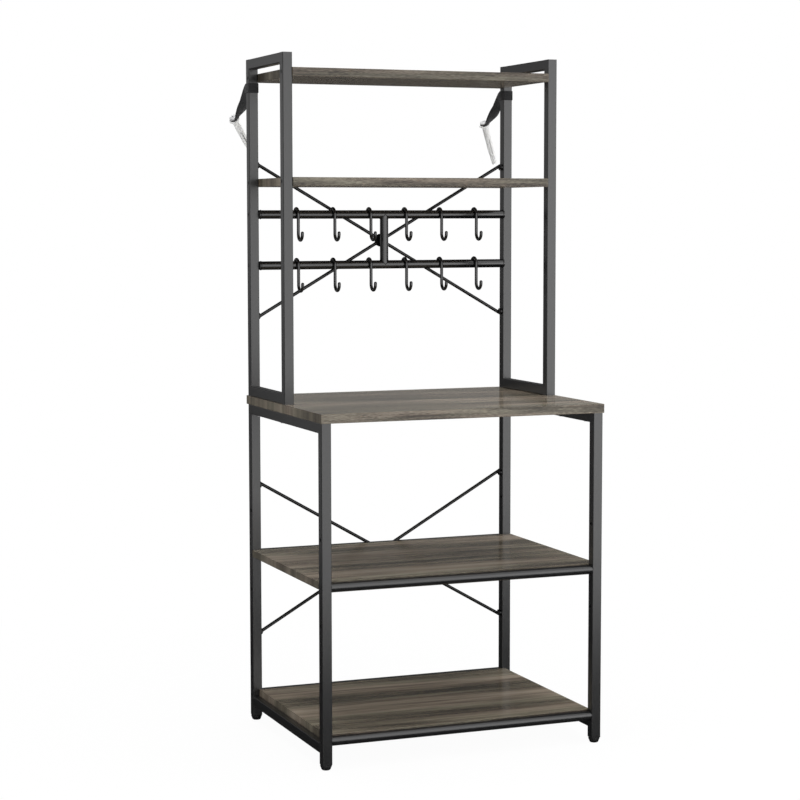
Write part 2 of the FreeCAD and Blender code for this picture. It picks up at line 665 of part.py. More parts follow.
def main():
    """Build every piece, let each fastener cut its own seat, and write the nodes."""
    os.makedirs("parts", exist_ok=True)
    fasteners = {
        "rail_bolts": rail_bolts(),
        "hutch_shelf_bolts": hutch_shelf_bolts(),
        "hook_rail_bolts": hook_rail_bolts(),
        "brace_bolts": brace_bolts(UPPER_BRACE_Z) + brace_bolts(LOWER_BRACE_Z),
        "hutch_bolts": hutch_bolts(),
        "countertop_screws": countertop_screws(),
        "shelf_screws": shelf_screws(),
    }
    seated = {
        "countertop": countertop(),
        "top_shelf": hutch_shelf(TOP_SHELF_Z, REAR_Y),
        "second_shelf": hutch_shelf(SECOND_SHELF_Z, SECOND_SHELF_REAR_Y),
        "middle_shelf": lower_shelf(OUTER_X, MIDDLE_SHELF_Z),
        "bottom_shelf": lower_shelf(INNER_X + BOTTOM_SHELF_BEARING, BOTTOM_SHELF_Z),
        "hook_rail_frame": hook_rail_frame(),
    }
    for name, side in SIDES.items():
        seated[name + "_lower_frame"] = lower_frame(side)
        seated[name + "_upper_frame"] = upper_frame(side)
    for name, shelf_z in (("middle", MIDDLE_SHELF_Z), ("bottom", BOTTOM_SHELF_Z)):
        seated[name + "_front_rail"] = front_rail(shelf_z)
        seated[name + "_rear_rail"] = rear_rail(shelf_z)
    for name, centre_z in (("upper", UPPER_BRACE_Z), ("lower", LOWER_BRACE_Z)):
        seated[name + "_brace_rising_rods"] = group([brace_arm(side, side, centre_z) for side in (-1, 1)])
        seated[name + "_brace_falling_rods"] = group([brace_arm(side, -side, centre_z) for side in (-1, 1)])
        export(brace_hub_disc(centre_z), name + "_brace_hub")
    cutters = [solid for solids in fasteners.values() for solid in solids]
    for node, shape in seated.items():
        near = [cutter for cutter in cutters if cutter.BoundBox.intersect(shape.BoundBox)]
        export(shape.cut(near) if near else shape, node)
    for node, solids in fasteners.items():
        export(group(solids), node)
    export(group(rivet_nuts()), "rivet_nuts")
    for name, place in foot_places():
        export(levelling_foot(place), name + "_foot")
    export(group([leg_insert(place) for name, place in foot_places()]), "leg_inserts")
    for row, bar_z in (("upper", UPPER_BAR_Z), ("lower", LOWER_BAR_Z)):
        for index in range(HOOK_COUNT):
            x = HOOK_ROW_X + (index - (HOOK_COUNT - 1) / 2) * HOOK_PITCH
            export(s_hook(x, bar_z), row + "_hook_" + str(index + 1))
    for name, side in SIDES.items():
        export(wall_strap(side), name + "_wall_strap")
        export(wall_screw(side), name + "_wall_screw")
        export(wall_plug(side), name + "_wall_plug")


main()
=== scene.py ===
"""Dresses the bakers rack: coated tube, grey-brown boards, hooks, straps, plugs and fasteners."""

import json
import logging
import math
from dataclasses import dataclass
from enum import Enum
from typing import Callable, Dict, Iterable, List, Optional, Sequence, Tuple, Union

import bmesh
import bpy
from mathutils import Euler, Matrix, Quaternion, Vector

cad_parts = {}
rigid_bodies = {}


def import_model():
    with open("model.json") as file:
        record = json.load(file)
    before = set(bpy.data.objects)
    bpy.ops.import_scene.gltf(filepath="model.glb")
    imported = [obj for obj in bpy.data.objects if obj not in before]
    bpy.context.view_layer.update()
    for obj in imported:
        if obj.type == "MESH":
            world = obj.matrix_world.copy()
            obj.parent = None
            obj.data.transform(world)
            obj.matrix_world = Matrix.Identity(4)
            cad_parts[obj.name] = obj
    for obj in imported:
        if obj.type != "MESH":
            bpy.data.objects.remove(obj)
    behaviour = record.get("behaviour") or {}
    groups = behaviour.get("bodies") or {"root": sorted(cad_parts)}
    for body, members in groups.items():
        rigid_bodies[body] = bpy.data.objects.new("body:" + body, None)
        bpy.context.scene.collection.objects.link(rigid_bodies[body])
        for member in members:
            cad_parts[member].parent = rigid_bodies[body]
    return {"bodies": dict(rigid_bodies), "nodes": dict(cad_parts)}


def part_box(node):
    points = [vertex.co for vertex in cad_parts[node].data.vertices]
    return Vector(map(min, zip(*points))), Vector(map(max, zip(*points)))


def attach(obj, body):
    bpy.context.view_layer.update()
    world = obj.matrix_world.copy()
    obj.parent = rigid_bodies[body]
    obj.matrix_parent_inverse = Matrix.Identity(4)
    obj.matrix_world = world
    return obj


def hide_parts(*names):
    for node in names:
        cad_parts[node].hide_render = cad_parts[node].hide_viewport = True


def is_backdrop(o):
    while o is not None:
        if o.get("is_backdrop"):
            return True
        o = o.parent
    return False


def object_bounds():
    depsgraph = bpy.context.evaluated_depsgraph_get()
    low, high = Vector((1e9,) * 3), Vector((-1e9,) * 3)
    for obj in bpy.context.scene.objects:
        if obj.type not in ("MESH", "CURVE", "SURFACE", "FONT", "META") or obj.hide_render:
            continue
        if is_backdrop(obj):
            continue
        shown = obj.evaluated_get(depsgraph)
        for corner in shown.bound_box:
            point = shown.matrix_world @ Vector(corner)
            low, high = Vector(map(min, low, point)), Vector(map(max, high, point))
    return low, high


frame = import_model()

LOG = logging.getLogger("bakers_rack")
MM = 0.001
SAME_POINT = 0.0005 * MM
SORT_DIGITS = 4
CLOSE_TO_X = 0.9
X, Y, Z = Vector((1, 0, 0)), Vector((0, 1, 0)), Vector((0, 0, 1))
WHITE = (1.0, 1.0, 1.0, 1.0)

Triple = Tuple[float, float, float]
Point2 = Tuple[float, float]
Number = Union["Signal", float]
Paint = Union["Signal", Triple]


class Slot(Enum):
    """The record's material slots that the new pieces belong to."""

    FRAME = "frame_paint"
    WEBBING = "webbing"
    PLUG = "plug_plastic"
    ZINC = "zinc_steel"
    BLACK_STEEL = "black_steel"


# Shader toolkit ----------------------------------------------------------------------------

class Signal:
    """One output of a shader node, with arithmetic that adds Math nodes after it."""

    def __init__(self, graph: "ShaderGraph", socket: bpy.types.NodeSocket) -> None:
        """Keep the graph and the socket together."""
        self.graph = graph
        self.socket = socket

    def output(self, name: Union[str, int]) -> "Signal":
        """Give another output of the same node."""
        return Signal(self.graph, self.socket.node.outputs[name])

    def calculate(self, operation: str, first: Number, second: Number = 0.0) -> "Signal":
        """Add one Math node on two numbers."""
        return self.graph.add("ShaderNodeMath", {"operation": operation}, {0: first, 1: second})

    def __add__(self, other: Number) -> "Signal":
        """Add a number to this one."""
        return self.calculate("ADD", self, other)

    def __radd__(self, other: Number) -> "Signal":
        """Add this number to one on its left."""
        return self.calculate("ADD", other, self)

    def __sub__(self, other: Number) -> "Signal":
        """Take a number from this one."""
        return self.calculate("SUBTRACT", self, other)

    def __rsub__(self, other: Number) -> "Signal":
        """Take this number from one on its left."""
        return self.calculate("SUBTRACT", other, self)

    def __mul__(self, other: Number) -> "Signal":
        """Multiply this number by another."""
        return self.calculate("MULTIPLY", self, other)

    def __rmul__(self, other: Number) -> "Signal":
        """Multiply a number on the left by this one."""
        return self.calculate("MULTIPLY", other, self)

    def __abs__(self) -> "Signal":
        """Drop the sign."""
        return self.calculate("ABSOLUTE", self)

    def shared(self, other: "Signal", share: float = 0.5) -> "Signal":
        """Give the mean of this number and another, which has the given share."""
        return self * (1 - share) + other * share

    def most(self, other: Number) -> "Signal":
        """Give the larger of two numbers."""
        return self.calculate("MAXIMUM", self, other)

    def least(self, other: Number) -> "Signal":
        """Give the smaller of two numbers."""
        return self.calculate("MINIMUM", self, other)


class ShaderGraph:
    """The nodes of one material or world."""

    def __init__(self, tree: bpy.types.NodeTree) -> None:
        """Start from an empty tree."""
        self.tree = tree
        tree.nodes.clear()

    def add(self, kind: str, settings: Optional[dict] = None, inputs: Optional[dict] = None,
            output: Union[str, int] = 0) -> Signal:
        """Add one node.

        Args:
            kind: the node's type.
            settings: its properties, set first; "stops" holds a ramp's (position, colour) pairs.
            inputs: socket name or index to a value or a Signal.
            output: the output that the result stands for.

        Returns:
            The chosen output.
        """
        node = self.tree.nodes.new(kind)
        for name, value in (settings or {}).items():
            if name == "stops":
                self.set_stops(node.color_ramp, value)
            else:
                setattr(node, name, value)
        for name, value in (inputs or {}).items():
            if isinstance(value, Signal):
                self.tree.links.new(value.socket, node.inputs[name])
            else:
                node.inputs[name].default_value = value
        return Signal(self, node.outputs[output] if node.outputs else None)

    @staticmethod
    def set_stops(ramp: bpy.types.ColorRamp, stops: Sequence[Tuple[float, Triple]]) -> None:
        """Give a ramp its stops.

        Args:
            ramp: the colour ramp of a new node.
            stops: (position, colour) pairs, from low to high.
        """
        while len(ramp.elements) < len(stops):
            ramp.elements.new(1.0)
        for element, (position, colour) in zip(ramp.elements, stops):
            element.position = position
            element.color = (*colour, 1.0)

    def blend(self, factor: Number, first: Paint, second: Paint, mode: str = "MIX") -> Signal:
        """Mix two colours.

        Args:
            factor: the second colour's share.
            first: the colour at 0.
            second: the colour at 1.
            mode: how they mix.

        Returns:
            The mixed colour.
        """
        colours = [value if isinstance(value, Signal) else (*value, 1.0) for value in (first, second)]
        return self.add("ShaderNodeMix", {"data_type": "RGBA", "blend_type": mode},
                        {0: factor, 6: colours[0], 7: colours[1]}, output=2)

    def tint(self, colour: Paint, by: Paint) -> Signal:
        """Multiply a colour by another."""
        return self.blend(1.0, colour, by, "MULTIPLY")

    def vector(self, x: Number, y: Number, z: Number) -> Signal:
        """Put three numbers together as one vector."""
        return self.add("ShaderNodeCombineXYZ", inputs={0: x, 1: y, 2: z})

    def grey(self, value: Number) -> Signal:
        """Turn a number into a grey."""
        return self.vector(value, value, value)

    def place(self) -> Signal:
        """Give the place on the object."""
        return self.add("ShaderNodeTexCoord", output="Object")

    def split(self, vector: Signal) -> List[Signal]:
        """Give a vector's three numbers."""
        parts = self.add("ShaderNodeSeparateXYZ", inputs={0: vector})
        return [parts.output(index) for index in range(3)]

    def stretch(self, place: Signal, scale: Triple, shift: Triple = (0.0, 0.0, 0.0)) -> Signal:
        """Scale a place along each axis and move it."""
        return self.add("ShaderNodeVectorMath", {"operation": "MULTIPLY_ADD"}, {0: place, 1: scale, 2: shift})

    def measure(self, operation: str, *vectors: Paint) -> Signal:
        """Work one number out of vectors, such as a length or a dot product."""
        return self.add("ShaderNodeVectorMath", {"operation": operation}, dict(enumerate(vectors)), output=1)

    def noise(self, place: Signal, scale: float = 1.0, detail: float = 2.0, roughness: float = 0.5) -> Signal:
        """Add soft noise about 0.5."""
        return self.add("ShaderNodeTexNoise",
                        inputs={"Vector": place, "Scale": scale, "Detail": detail, "Roughness": roughness})

    def rise(self, value: Number, low: float, high: float) -> Signal:
        """Rise smoothly from 0 at the low end to 1 at the high end."""
        return self.add("ShaderNodeMapRange", {"interpolation_type": "SMOOTHSTEP"},
                        {"Value": value, "From Min": low, "From Max": high})

    def between(self, value: Number, low: float, high: float) -> Signal:
        """Turn 0 to 1 into a range of numbers."""
        return self.add("ShaderNodeMapRange", inputs={"Value": value, "To Min": low, "To Max": high})

    def bump(self, height: Signal, distance: float, strength: float = 1.0) -> Signal:
        """Turn a height of 0 to 1 into a relief of a depth in metres, and show a share of it."""
        return self.add("ShaderNodeBump",
                        inputs={"Height": height, "Distance": distance, "Strength": strength})

    def surface(self, constants: dict, varying: Dict[str, Signal]) -> None:
        """End the graph in one surface shader with fixed and varying inputs."""
        shader = self.add("ShaderNodeBsdfPrincipled", inputs={**constants, **varying})
        self.add("ShaderNodeOutputMaterial", inputs={"Surface": shader})


def shade(colour: Triple, level: float) -> Triple:
    """Make a colour lighter or darker by a factor."""
    return tuple(channel * level for channel in colour)


# Finishes ----------------------------------------------------------------------------------

class Finish:
    """A surface finish, which makes its material once."""

    name: str

    def build(self, graph: ShaderGraph) -> None:
        """Add this finish's nodes."""
        raise NotImplementedError

    def material(self) -> bpy.types.Material:
        """Give the finish's material, and make it the first time.

        Returns:
            The material.
        """
        found = bpy.data.materials.get(self.name)
        if found is None:
            found = bpy.data.materials.new(self.name)
            found.use_nodes = True
            self.build(ShaderGraph(found.node_tree))
        return found


@dataclass(frozen=True)
class PowderCoat(Finish):
    """Dark powder coat: a fine orange-peel skin, slightly mottled, rubbed smoother on its edges."""

    name: str = "frame_powder_coat"
    colour: Triple = (0.0075, 0.0075, 0.008)
    rubbed_colour: Triple = (0.04, 0.04, 0.041)
    roughness: Point2 = (0.25, 0.33)
    rubbed_roughness: float = 0.22
    specular: float = 1.0
    ior: float = 1.5
    mottle_scale: float = 22.0
    mottle_tones: Point2 = (0.7, 1.3)
    speck_scale: float = 2600.0
    speck_share: float = 0.4
    peel_scale: float = 620.0
    peel_specks: float = 0.2
    peel_depth: float = 0.00006
    edge_width: float = 0.0016
    edge_turn: Point2 = (0.01, 0.2)
    edge_share: float = 0.35
    patch_scale: float = 45.0
    patch_range: Point2 = (0.45, 0.7)

    def build(self, graph: ShaderGraph) -> None:
        """Add the skin, the mottling and the rubbed edges.

        Args:
            graph: the material's empty graph.
        """
        place = graph.place()
        mottle = graph.noise(place, self.mottle_scale, detail=3.0)
        speck = graph.noise(place, self.speck_scale, detail=1.0)
        tone = graph.between(mottle.shared(speck, self.speck_share), *self.mottle_tones)
        coat = graph.tint(self.colour, graph.grey(tone))
        flat = graph.add("ShaderNodeNewGeometry", output="Normal")
        softened = graph.add("ShaderNodeBevel", {"samples": 4}, {"Radius": self.edge_width})
        patch = graph.rise(graph.noise(place, self.patch_scale, detail=4.0), *self.patch_range)
        turned = graph.rise(1 - graph.measure("DOT_PRODUCT", flat, softened), *self.edge_turn)
        rubbed = turned * patch * self.edge_share
        peel = graph.noise(place, self.peel_scale)
        rough = graph.between(mottle.shared(speck), *self.roughness)
        graph.surface(
            {"Specular IOR Level": self.specular, "IOR": self.ior},
            {"Base Color": graph.blend(rubbed, coat, self.rubbed_colour),
             "Roughness": rough * (1 - rubbed) + rubbed * self.rubbed_roughness,
             "Normal": graph.bump(peel.shared(speck, self.peel_specks), self.peel_depth)})


@dataclass(frozen=True)
class BoardGrain(Finish):
    """Grey-brown wood laminate: long blurred streaks, fibres, pores and banded edges.

    The scales say how often each layer of the grain repeats along and across a board, per metre. Each board's
    brightness is partly painted light, its ends carry painted shade and its undersides painted light.
    """

    name: str
    top: float
    bottom: float
    shift: Triple
    # Brightness of this board's wood: partly the laminate's colour, partly painted light that makes each
    # board lighter or darker by how lit it looks.
    tone_and_light_gain: float
    # Darkening of the ends: partly the edge band and partly painted shade, strongest on the middle shelf.
    end_band_and_shade: float
    dark: Triple = (0.062, 0.049, 0.038)
    middle: Triple = (0.215, 0.183, 0.143)
    light: Triple = (0.430, 0.388, 0.315)
    tone_stops: Triple = (0.14, 0.5, 0.86)
    contrast: float = 3.0
    green_tint: Triple = (0.985, 1.005, 0.93)
    red_tint: Triple = (1.055, 0.985, 0.94)
    tint_range: Point2 = (0.4, 0.6)
    edge_gain: float = 0.47
    # Painted light on the undersides: they turn towards a flat, lighter tone that stands in for light from
    # below.
    underside_light_gain: float = 1.12
    underside_light_share: float = 0.65
    specular: float = 0.5
    roughness: Point2 = (0.14, 0.23)
    fibre_roughness: float = 0.4
    edge_roughness: float = 0.45
    pore_roughness: float = 0.08
    wide_scale: Triple = (1.5, 11.0, 1.0)
    streak_scale: Triple = (3.0, 48.0, 1.0)
    fibre_scale: Triple = (9.0, 220.0, 1.0)
    layer_shares: Triple = (0.48, 0.30, 0.22)
    cloud_scale: Triple = (1.1, 12.0, 1.0)
    sway_scale: Triple = (2.4, 7.0, 7.0)
    sway_reach: float = 0.02
    speckle_scale: Triple = (26.0, 170.0, 1.0)
    speckle_share: float = 0.5
    pore_scale: Triple = (55.0, 2300.0, 1.0)
    pore_range: Point2 = (0.3, 0.42)
    pore_share: float = 0.35
    pore_depth: float = 0.00005
    relief: float = 0.6
    fleck: Triple = (0.36, 0.20, 0.11)
    fleck_scale: Triple = (16.0, 260.0, 1.0)
    fleck_shift: Triple = (3.1, 8.2, 5.5)
    fleck_range: Point2 = (0.71, 0.77)
    fleck_share: float = 0.7
    edge_stretch: Point2 = (2.5, 6.0)
    edge_offset: float = 0.37
    seam: float = 0.0007
    seam_share: float = 0.55

    SIDE_TURN = (0.5, 0.7)
    EDGE_TURN = (0.3, 0.6)
    UPPER_SEAM = (1.6, 1.2)
    LOWER_SEAM = (1.0, 1.4)

    def build(self, graph: ShaderGraph) -> None:
        """Add the grain, which the board's ends repeat and its long edges have apart.

        Args:
            graph: the material's empty graph.
        """
        place = graph.place()
        normal = graph.split(place.output("Normal"))
        x, y, z = graph.split(place)
        long_edge = graph.rise(abs(normal[1]), *self.SIDE_TURN)
        any_edge = graph.rise(1 - abs(normal[2]), *self.EDGE_TURN)
        under = graph.rise(normal[2] * -1.0, *self.SIDE_TURN)
        sway = graph.noise(graph.stretch(place, self.sway_scale, self.shift), detail=1.0) - 0.5
        level = z * self.edge_stretch[1] + self.edge_offset
        across = y * (1 - long_edge) + level * long_edge + sway * self.sway_reach
        grain = graph.vector(x * (long_edge * self.edge_stretch[0] + 1), across, 0.0)
        wide = self.layer(graph, grain, self.wide_scale)
        streak = self.layer(graph, grain, self.streak_scale, detail=3.0, roughness=0.55)
        fibre = self.layer(graph, grain, self.fibre_scale, detail=4.0, roughness=0.6)
        pore = self.layer(graph, grain, self.pore_scale)
        speckle = (self.layer(graph, grain, self.speckle_scale) - 0.5) * long_edge * self.speckle_share
        wide_share, streak_share, fibre_share = self.layer_shares
        mixed = wide * wide_share + streak * streak_share + fibre * fibre_share + speckle
        wood = self.toned(graph, grain, (mixed - 0.5) * self.contrast + 0.5)
        # Ends darken by their band and by painted shade; long edges darken by the band's tone alone.
        edge_gain = self.end_band_and_shade * (1 - long_edge) + long_edge * self.edge_gain
        wood = graph.blend(any_edge, wood, graph.tint(wood, graph.grey(edge_gain)))
        flecks = graph.noise(graph.stretch(grain, self.fleck_scale, self.fleck_shift))
        flecks = graph.rise(flecks, *self.fleck_range) * long_edge * self.fleck_share
        wood = graph.blend(flecks, wood, self.fleck)
        # Painted light: undersides lifted towards a flat, lighter middle tone.
        wood = graph.blend(under * self.underside_light_share, wood, shade(self.middle, self.tone_and_light_gain * self.underside_light_gain))
        dark_pore = 1 - graph.rise(pore, *self.pore_range)
        wood = graph.blend(dark_pore * self.pore_share, wood, self.dark)
        wood = graph.blend(self.seams(graph, z) * any_edge * self.seam_share, wood, self.dark)
        rough = graph.between(streak.shared(fibre, self.fibre_roughness), *self.roughness)
        rough = rough * (1 - any_edge) + any_edge * self.edge_roughness
        graph.surface(
            {"Specular IOR Level": self.specular},
            {"Base Color": wood, "Roughness": rough + dark_pore * self.pore_roughness,
             "Normal": graph.bump(fibre.shared(pore), self.pore_depth, self.relief)})

    def layer(self, graph: ShaderGraph, grain: Signal, scale: Triple, detail: float = 2.0,
              roughness: float = 0.5) -> Signal:
        """Add one layer of the grain, cut at this board's own place."""
        return graph.noise(graph.stretch(grain, scale, self.shift), detail=detail, roughness=roughness)

    def toned(self, graph: ShaderGraph, grain: Signal, tone: Signal) -> Signal:
        """Turn a tone into wood, greener in some stretches and redder in others.

        Args:
            graph: the material's graph.
            grain: the place in the grain.
            tone: how light the wood is, from 0 to 1.

        Returns:
            The wood's colour.
        """
        # The board's brightness, partly painted light, scales all three tones.
        colours = [shade(colour, self.tone_and_light_gain) for colour in (self.dark, self.middle, self.light)]
        stops = list(zip(self.tone_stops, colours))
        wood = graph.add("ShaderNodeValToRGB", {"stops": stops}, {"Fac": tone})
        cloud = graph.rise(self.layer(graph, grain, self.cloud_scale, detail=1.0), *self.tint_range)
        return graph.tint(wood, graph.blend(cloud, self.green_tint, self.red_tint))

    def seams(self, graph: ShaderGraph, z: Signal) -> Signal:
        """Find the dark glue lines just inside the top and the bottom of the edges."""
        upper = graph.rise(z, *(self.top - self.seam * reach for reach in self.UPPER_SEAM))
        return upper.most(1 - graph.rise(z, *(self.bottom + self.seam * reach for reach in self.LOWER_SEAM)))


@dataclass(frozen=True)
class HookCoat(Finish):
    """Satin black dip coat on bent wire, with faint runs and small rubbed spots."""

    name: str = "hook_satin_coat"
    colour: Triple = (0.003, 0.003, 0.0033)
    run_gain: float = 1.6
    run_scale: float = 70.0
    run_share: float = 0.5
    rubbed: Triple = (0.04, 0.04, 0.041)
    spot_scale: float = 260.0
    spot_range: Point2 = (0.64, 0.74)
    spot_share: float = 0.3
    roughness: Point2 = (0.16, 0.24)
    specular: float = 0.9
    ior: float = 1.55
    skin_scale: float = 900.0
    skin_share: float = 0.4
    skin_depth: float = 0.00004

    def build(self, graph: ShaderGraph) -> None:
        """Add the coat and its rubbed spots.

        Args:
            graph: the material's empty graph.
        """
        place = graph.place()
        cloud = graph.noise(place, self.run_scale, detail=3.0)
        spot = graph.rise(graph.noise(place, self.spot_scale), *self.spot_range)
        skin = graph.noise(place, self.skin_scale)
        runs = graph.between(cloud, 0.0, self.run_share)
        coat = graph.blend(runs, self.colour, shade(self.colour, self.run_gain))
        graph.surface(
            {"Specular IOR Level": self.specular, "IOR": self.ior},
            {"Base Color": graph.blend(spot * self.spot_share, coat, self.rubbed),
             "Roughness": graph.between(cloud.shared(skin, self.skin_share), *self.roughness),
             "Normal": graph.bump(skin, self.skin_depth)})


@dataclass(frozen=True)
class MouldedPlastic(Finish):
    """Moulded plastic with a fine eroded skin and scuffs."""

    name: str
    colour: Triple
    scuff: Triple
    roughness: Point2
    cloud_scale: float = 90.0
    cloud_tones: Point2 = (0.86, 1.1)
    skin_scale: float = 1500.0
    skin_depth: float = 0.00006
    scuff_scale: float = 160.0
    scuff_stretch: Triple = (1.0, 1.0, 3.0)
    scuff_range: Point2 = (0.55, 0.75)
    scuff_share: float = 0.3
    specular: float = 0.4
    translucence: float = 0.0
    light_spread: Triple = (0.6, 0.6, 0.55)
    light_depth: float = 2.0 * MM

    def build(self, graph: ShaderGraph) -> None:
        """Add the skin and the scuffs.

        Args:
            graph: the material's empty graph.
        """
        place = graph.place()
        skin = graph.noise(place, self.skin_scale, detail=3.0, roughness=0.6)
        cloud = graph.noise(place, self.cloud_scale, detail=3.0)
        scuffed = graph.noise(graph.stretch(place, self.scuff_stretch), self.scuff_scale, detail=4.0)
        scuffed = graph.rise(scuffed, *self.scuff_range)
        body = graph.blend(cloud, *(shade(self.colour, tone) for tone in self.cloud_tones))
        graph.surface(
            {"Specular IOR Level": self.specular, "Subsurface Weight": self.translucence,
             "Subsurface Radius": self.light_spread, "Subsurface Scale": self.light_depth},
            {"Base Color": graph.blend(scuffed * self.scuff_share, body, self.scuff),
             "Roughness": graph.between(skin.shared(scuffed), *self.roughness),
             "Normal": graph.bump(skin, self.skin_depth)})


@dataclass(frozen=True)
class TurnedSteel(Finish):
    """Steel fastener: plated or blackened, with fine turning marks and worn crests."""

    name: str
    colour: Triple
    worn: Triple
    metallic: float
    roughness: Point2
    dull_gain: float = 0.8
    cloud_scale: float = 320.0
    scratch_scale: float = 700.0
    scratch_stretch: Triple = (1.0, 9.0, 1.0)
    scratch_depth: float = 0.00002
    scratch_relief: float = 0.5
    cloud_share: float = 0.4
    worn_range: Point2 = (0.5, 0.72)

    def build(self, graph: ShaderGraph) -> None:
        """Add the plating's clouding and its scratches.

        Args:
            graph: the material's empty graph.
        """
        place = graph.place()
        cloud = graph.noise(place, self.cloud_scale, detail=3.0)
        turned = graph.stretch(place, self.scratch_stretch)
        scratch = graph.noise(turned, self.scratch_scale, detail=3.0, roughness=0.7)
        worn = graph.rise(scratch.shared(cloud, self.cloud_share), *self.worn_range)
        plate = graph.blend(cloud, shade(self.colour, self.dull_gain), self.colour)
        graph.surface(
            {"Metallic": self.metallic},
            {"Base Color": graph.blend(worn, plate, self.worn),
             "Roughness": graph.between(scratch, *self.roughness),
             "Normal": graph.bump(scratch, self.scratch_depth, self.scratch_relief)})


@dataclass(frozen=True)
class Webbing(Finish):
    """Woven webbing: ribs across the strap, threads along it and a tighter edge."""

    name: str = "strap_webbing"
    colour: Triple = (0.015, 0.015, 0.016)
    thread: Triple = (0.040, 0.040, 0.042)
    # Painted shade: the grooves of the weave are darkened to this share of the colour.
    groove_shade_gain: float = 0.5
    roughness: Point2 = (0.65, 0.9)
    specular: float = 0.25
    sheen: float = 0.12
    sheen_roughness: float = 0.5
    rib_pitch: float = 1.5 * MM
    thread_pitch: float = 0.9 * MM
    thread_lean: float = 0.35
    thread_share: float = 0.45
    relief: float = 0.00022
    fuzz_scale: float = 1900.0
    fuzz_tone: float = 0.25
    fuzz_relief: float = 0.2
    fade_scale: float = 55.0
    fade_share: float = 0.4

    def build(self, graph: ShaderGraph) -> None:
        """Weave the strap from the distances that its mesh carries.

        Args:
            graph: the material's empty graph.
        """
        along, across = (graph.add("ShaderNodeAttribute", {"attribute_name": name}, output="Fac")
                         for name in ("along", "across"))
        place = graph.place()
        rib = self.wave(graph, along * (1.0 / self.rib_pitch))
        warp = self.wave(graph, across * (1.0 / self.thread_pitch) + rib * self.thread_lean)
        weave = rib.shared(warp, self.thread_share)
        fuzz = graph.noise(place, self.fuzz_scale, detail=3.0, roughness=0.7)
        faded = graph.noise(place, self.fade_scale)
        tone = weave.shared(fuzz, self.fuzz_tone)
        # Painted shade: the colour follows the weave's height, darker in its grooves; a random fade follows.
        weave_shade_and_fade = graph.blend(tone, shade(self.colour, self.groove_shade_gain), self.thread)
        weave_shade_and_fade = graph.blend(faded * self.fade_share, weave_shade_and_fade, self.colour)
        graph.surface(
            {"Specular IOR Level": self.specular, "Sheen Weight": self.sheen,
             "Sheen Roughness": self.sheen_roughness},
            {"Base Color": weave_shade_and_fade, "Roughness": graph.between(fuzz, *self.roughness),
             "Normal": graph.bump(weave.shared(fuzz, self.fuzz_relief), self.relief)})

    @staticmethod
    def wave(graph: ShaderGraph, turns: Signal) -> Signal:
        """Give a smooth wave of 0 to 1 with one crest for each turn."""
        return graph.add("ShaderNodeMath", {"operation": "SINE"}, {0: turns * math.tau}) * 0.5 + 0.5


FRAME_COAT = PowderCoat()
BAR_COAT = PowderCoat("bar_gloss_coat", (0.003, 0.003, 0.0033), roughness=(0.15, 0.21), rubbed_roughness=0.16,
                      peel_depth=0.00003, edge_share=0.2)
ROD_COAT = PowderCoat("rod_gloss_coat", (0.003, 0.003, 0.0033), roughness=(0.15, 0.21), rubbed_roughness=0.16,
                      specular=0.5, peel_depth=0.00002, edge_share=0.1)
HOOK_COAT = HookCoat()
FOOT_PLASTIC = MouldedPlastic("foot_plastic", (0.011, 0.011, 0.0115), (0.045, 0.045, 0.046), (0.42, 0.62))
PLUG_NYLON = MouldedPlastic("plug_nylon", (0.90, 0.90, 0.89), (0.80, 0.80, 0.78), (0.34, 0.5),
                            scuff_share=0.25, translucence=0.15)
ZINC = TurnedSteel("zinc_plate", (0.80, 0.80, 0.81), (0.86, 0.86, 0.87), 0.25, (0.24, 0.42))
BLACK_STEEL = TurnedSteel("blackened_steel", (0.020, 0.020, 0.021), (0.06, 0.06, 0.062), 0.35, (0.32, 0.5))
STRAP_WEAVE = Webbing()
THREAD = MouldedPlastic("strap_thread", (0.035, 0.035, 0.037), (0.07, 0.07, 0.07), (0.55, 0.75))


# Mesh tools --------------------------------------------------------------------------------

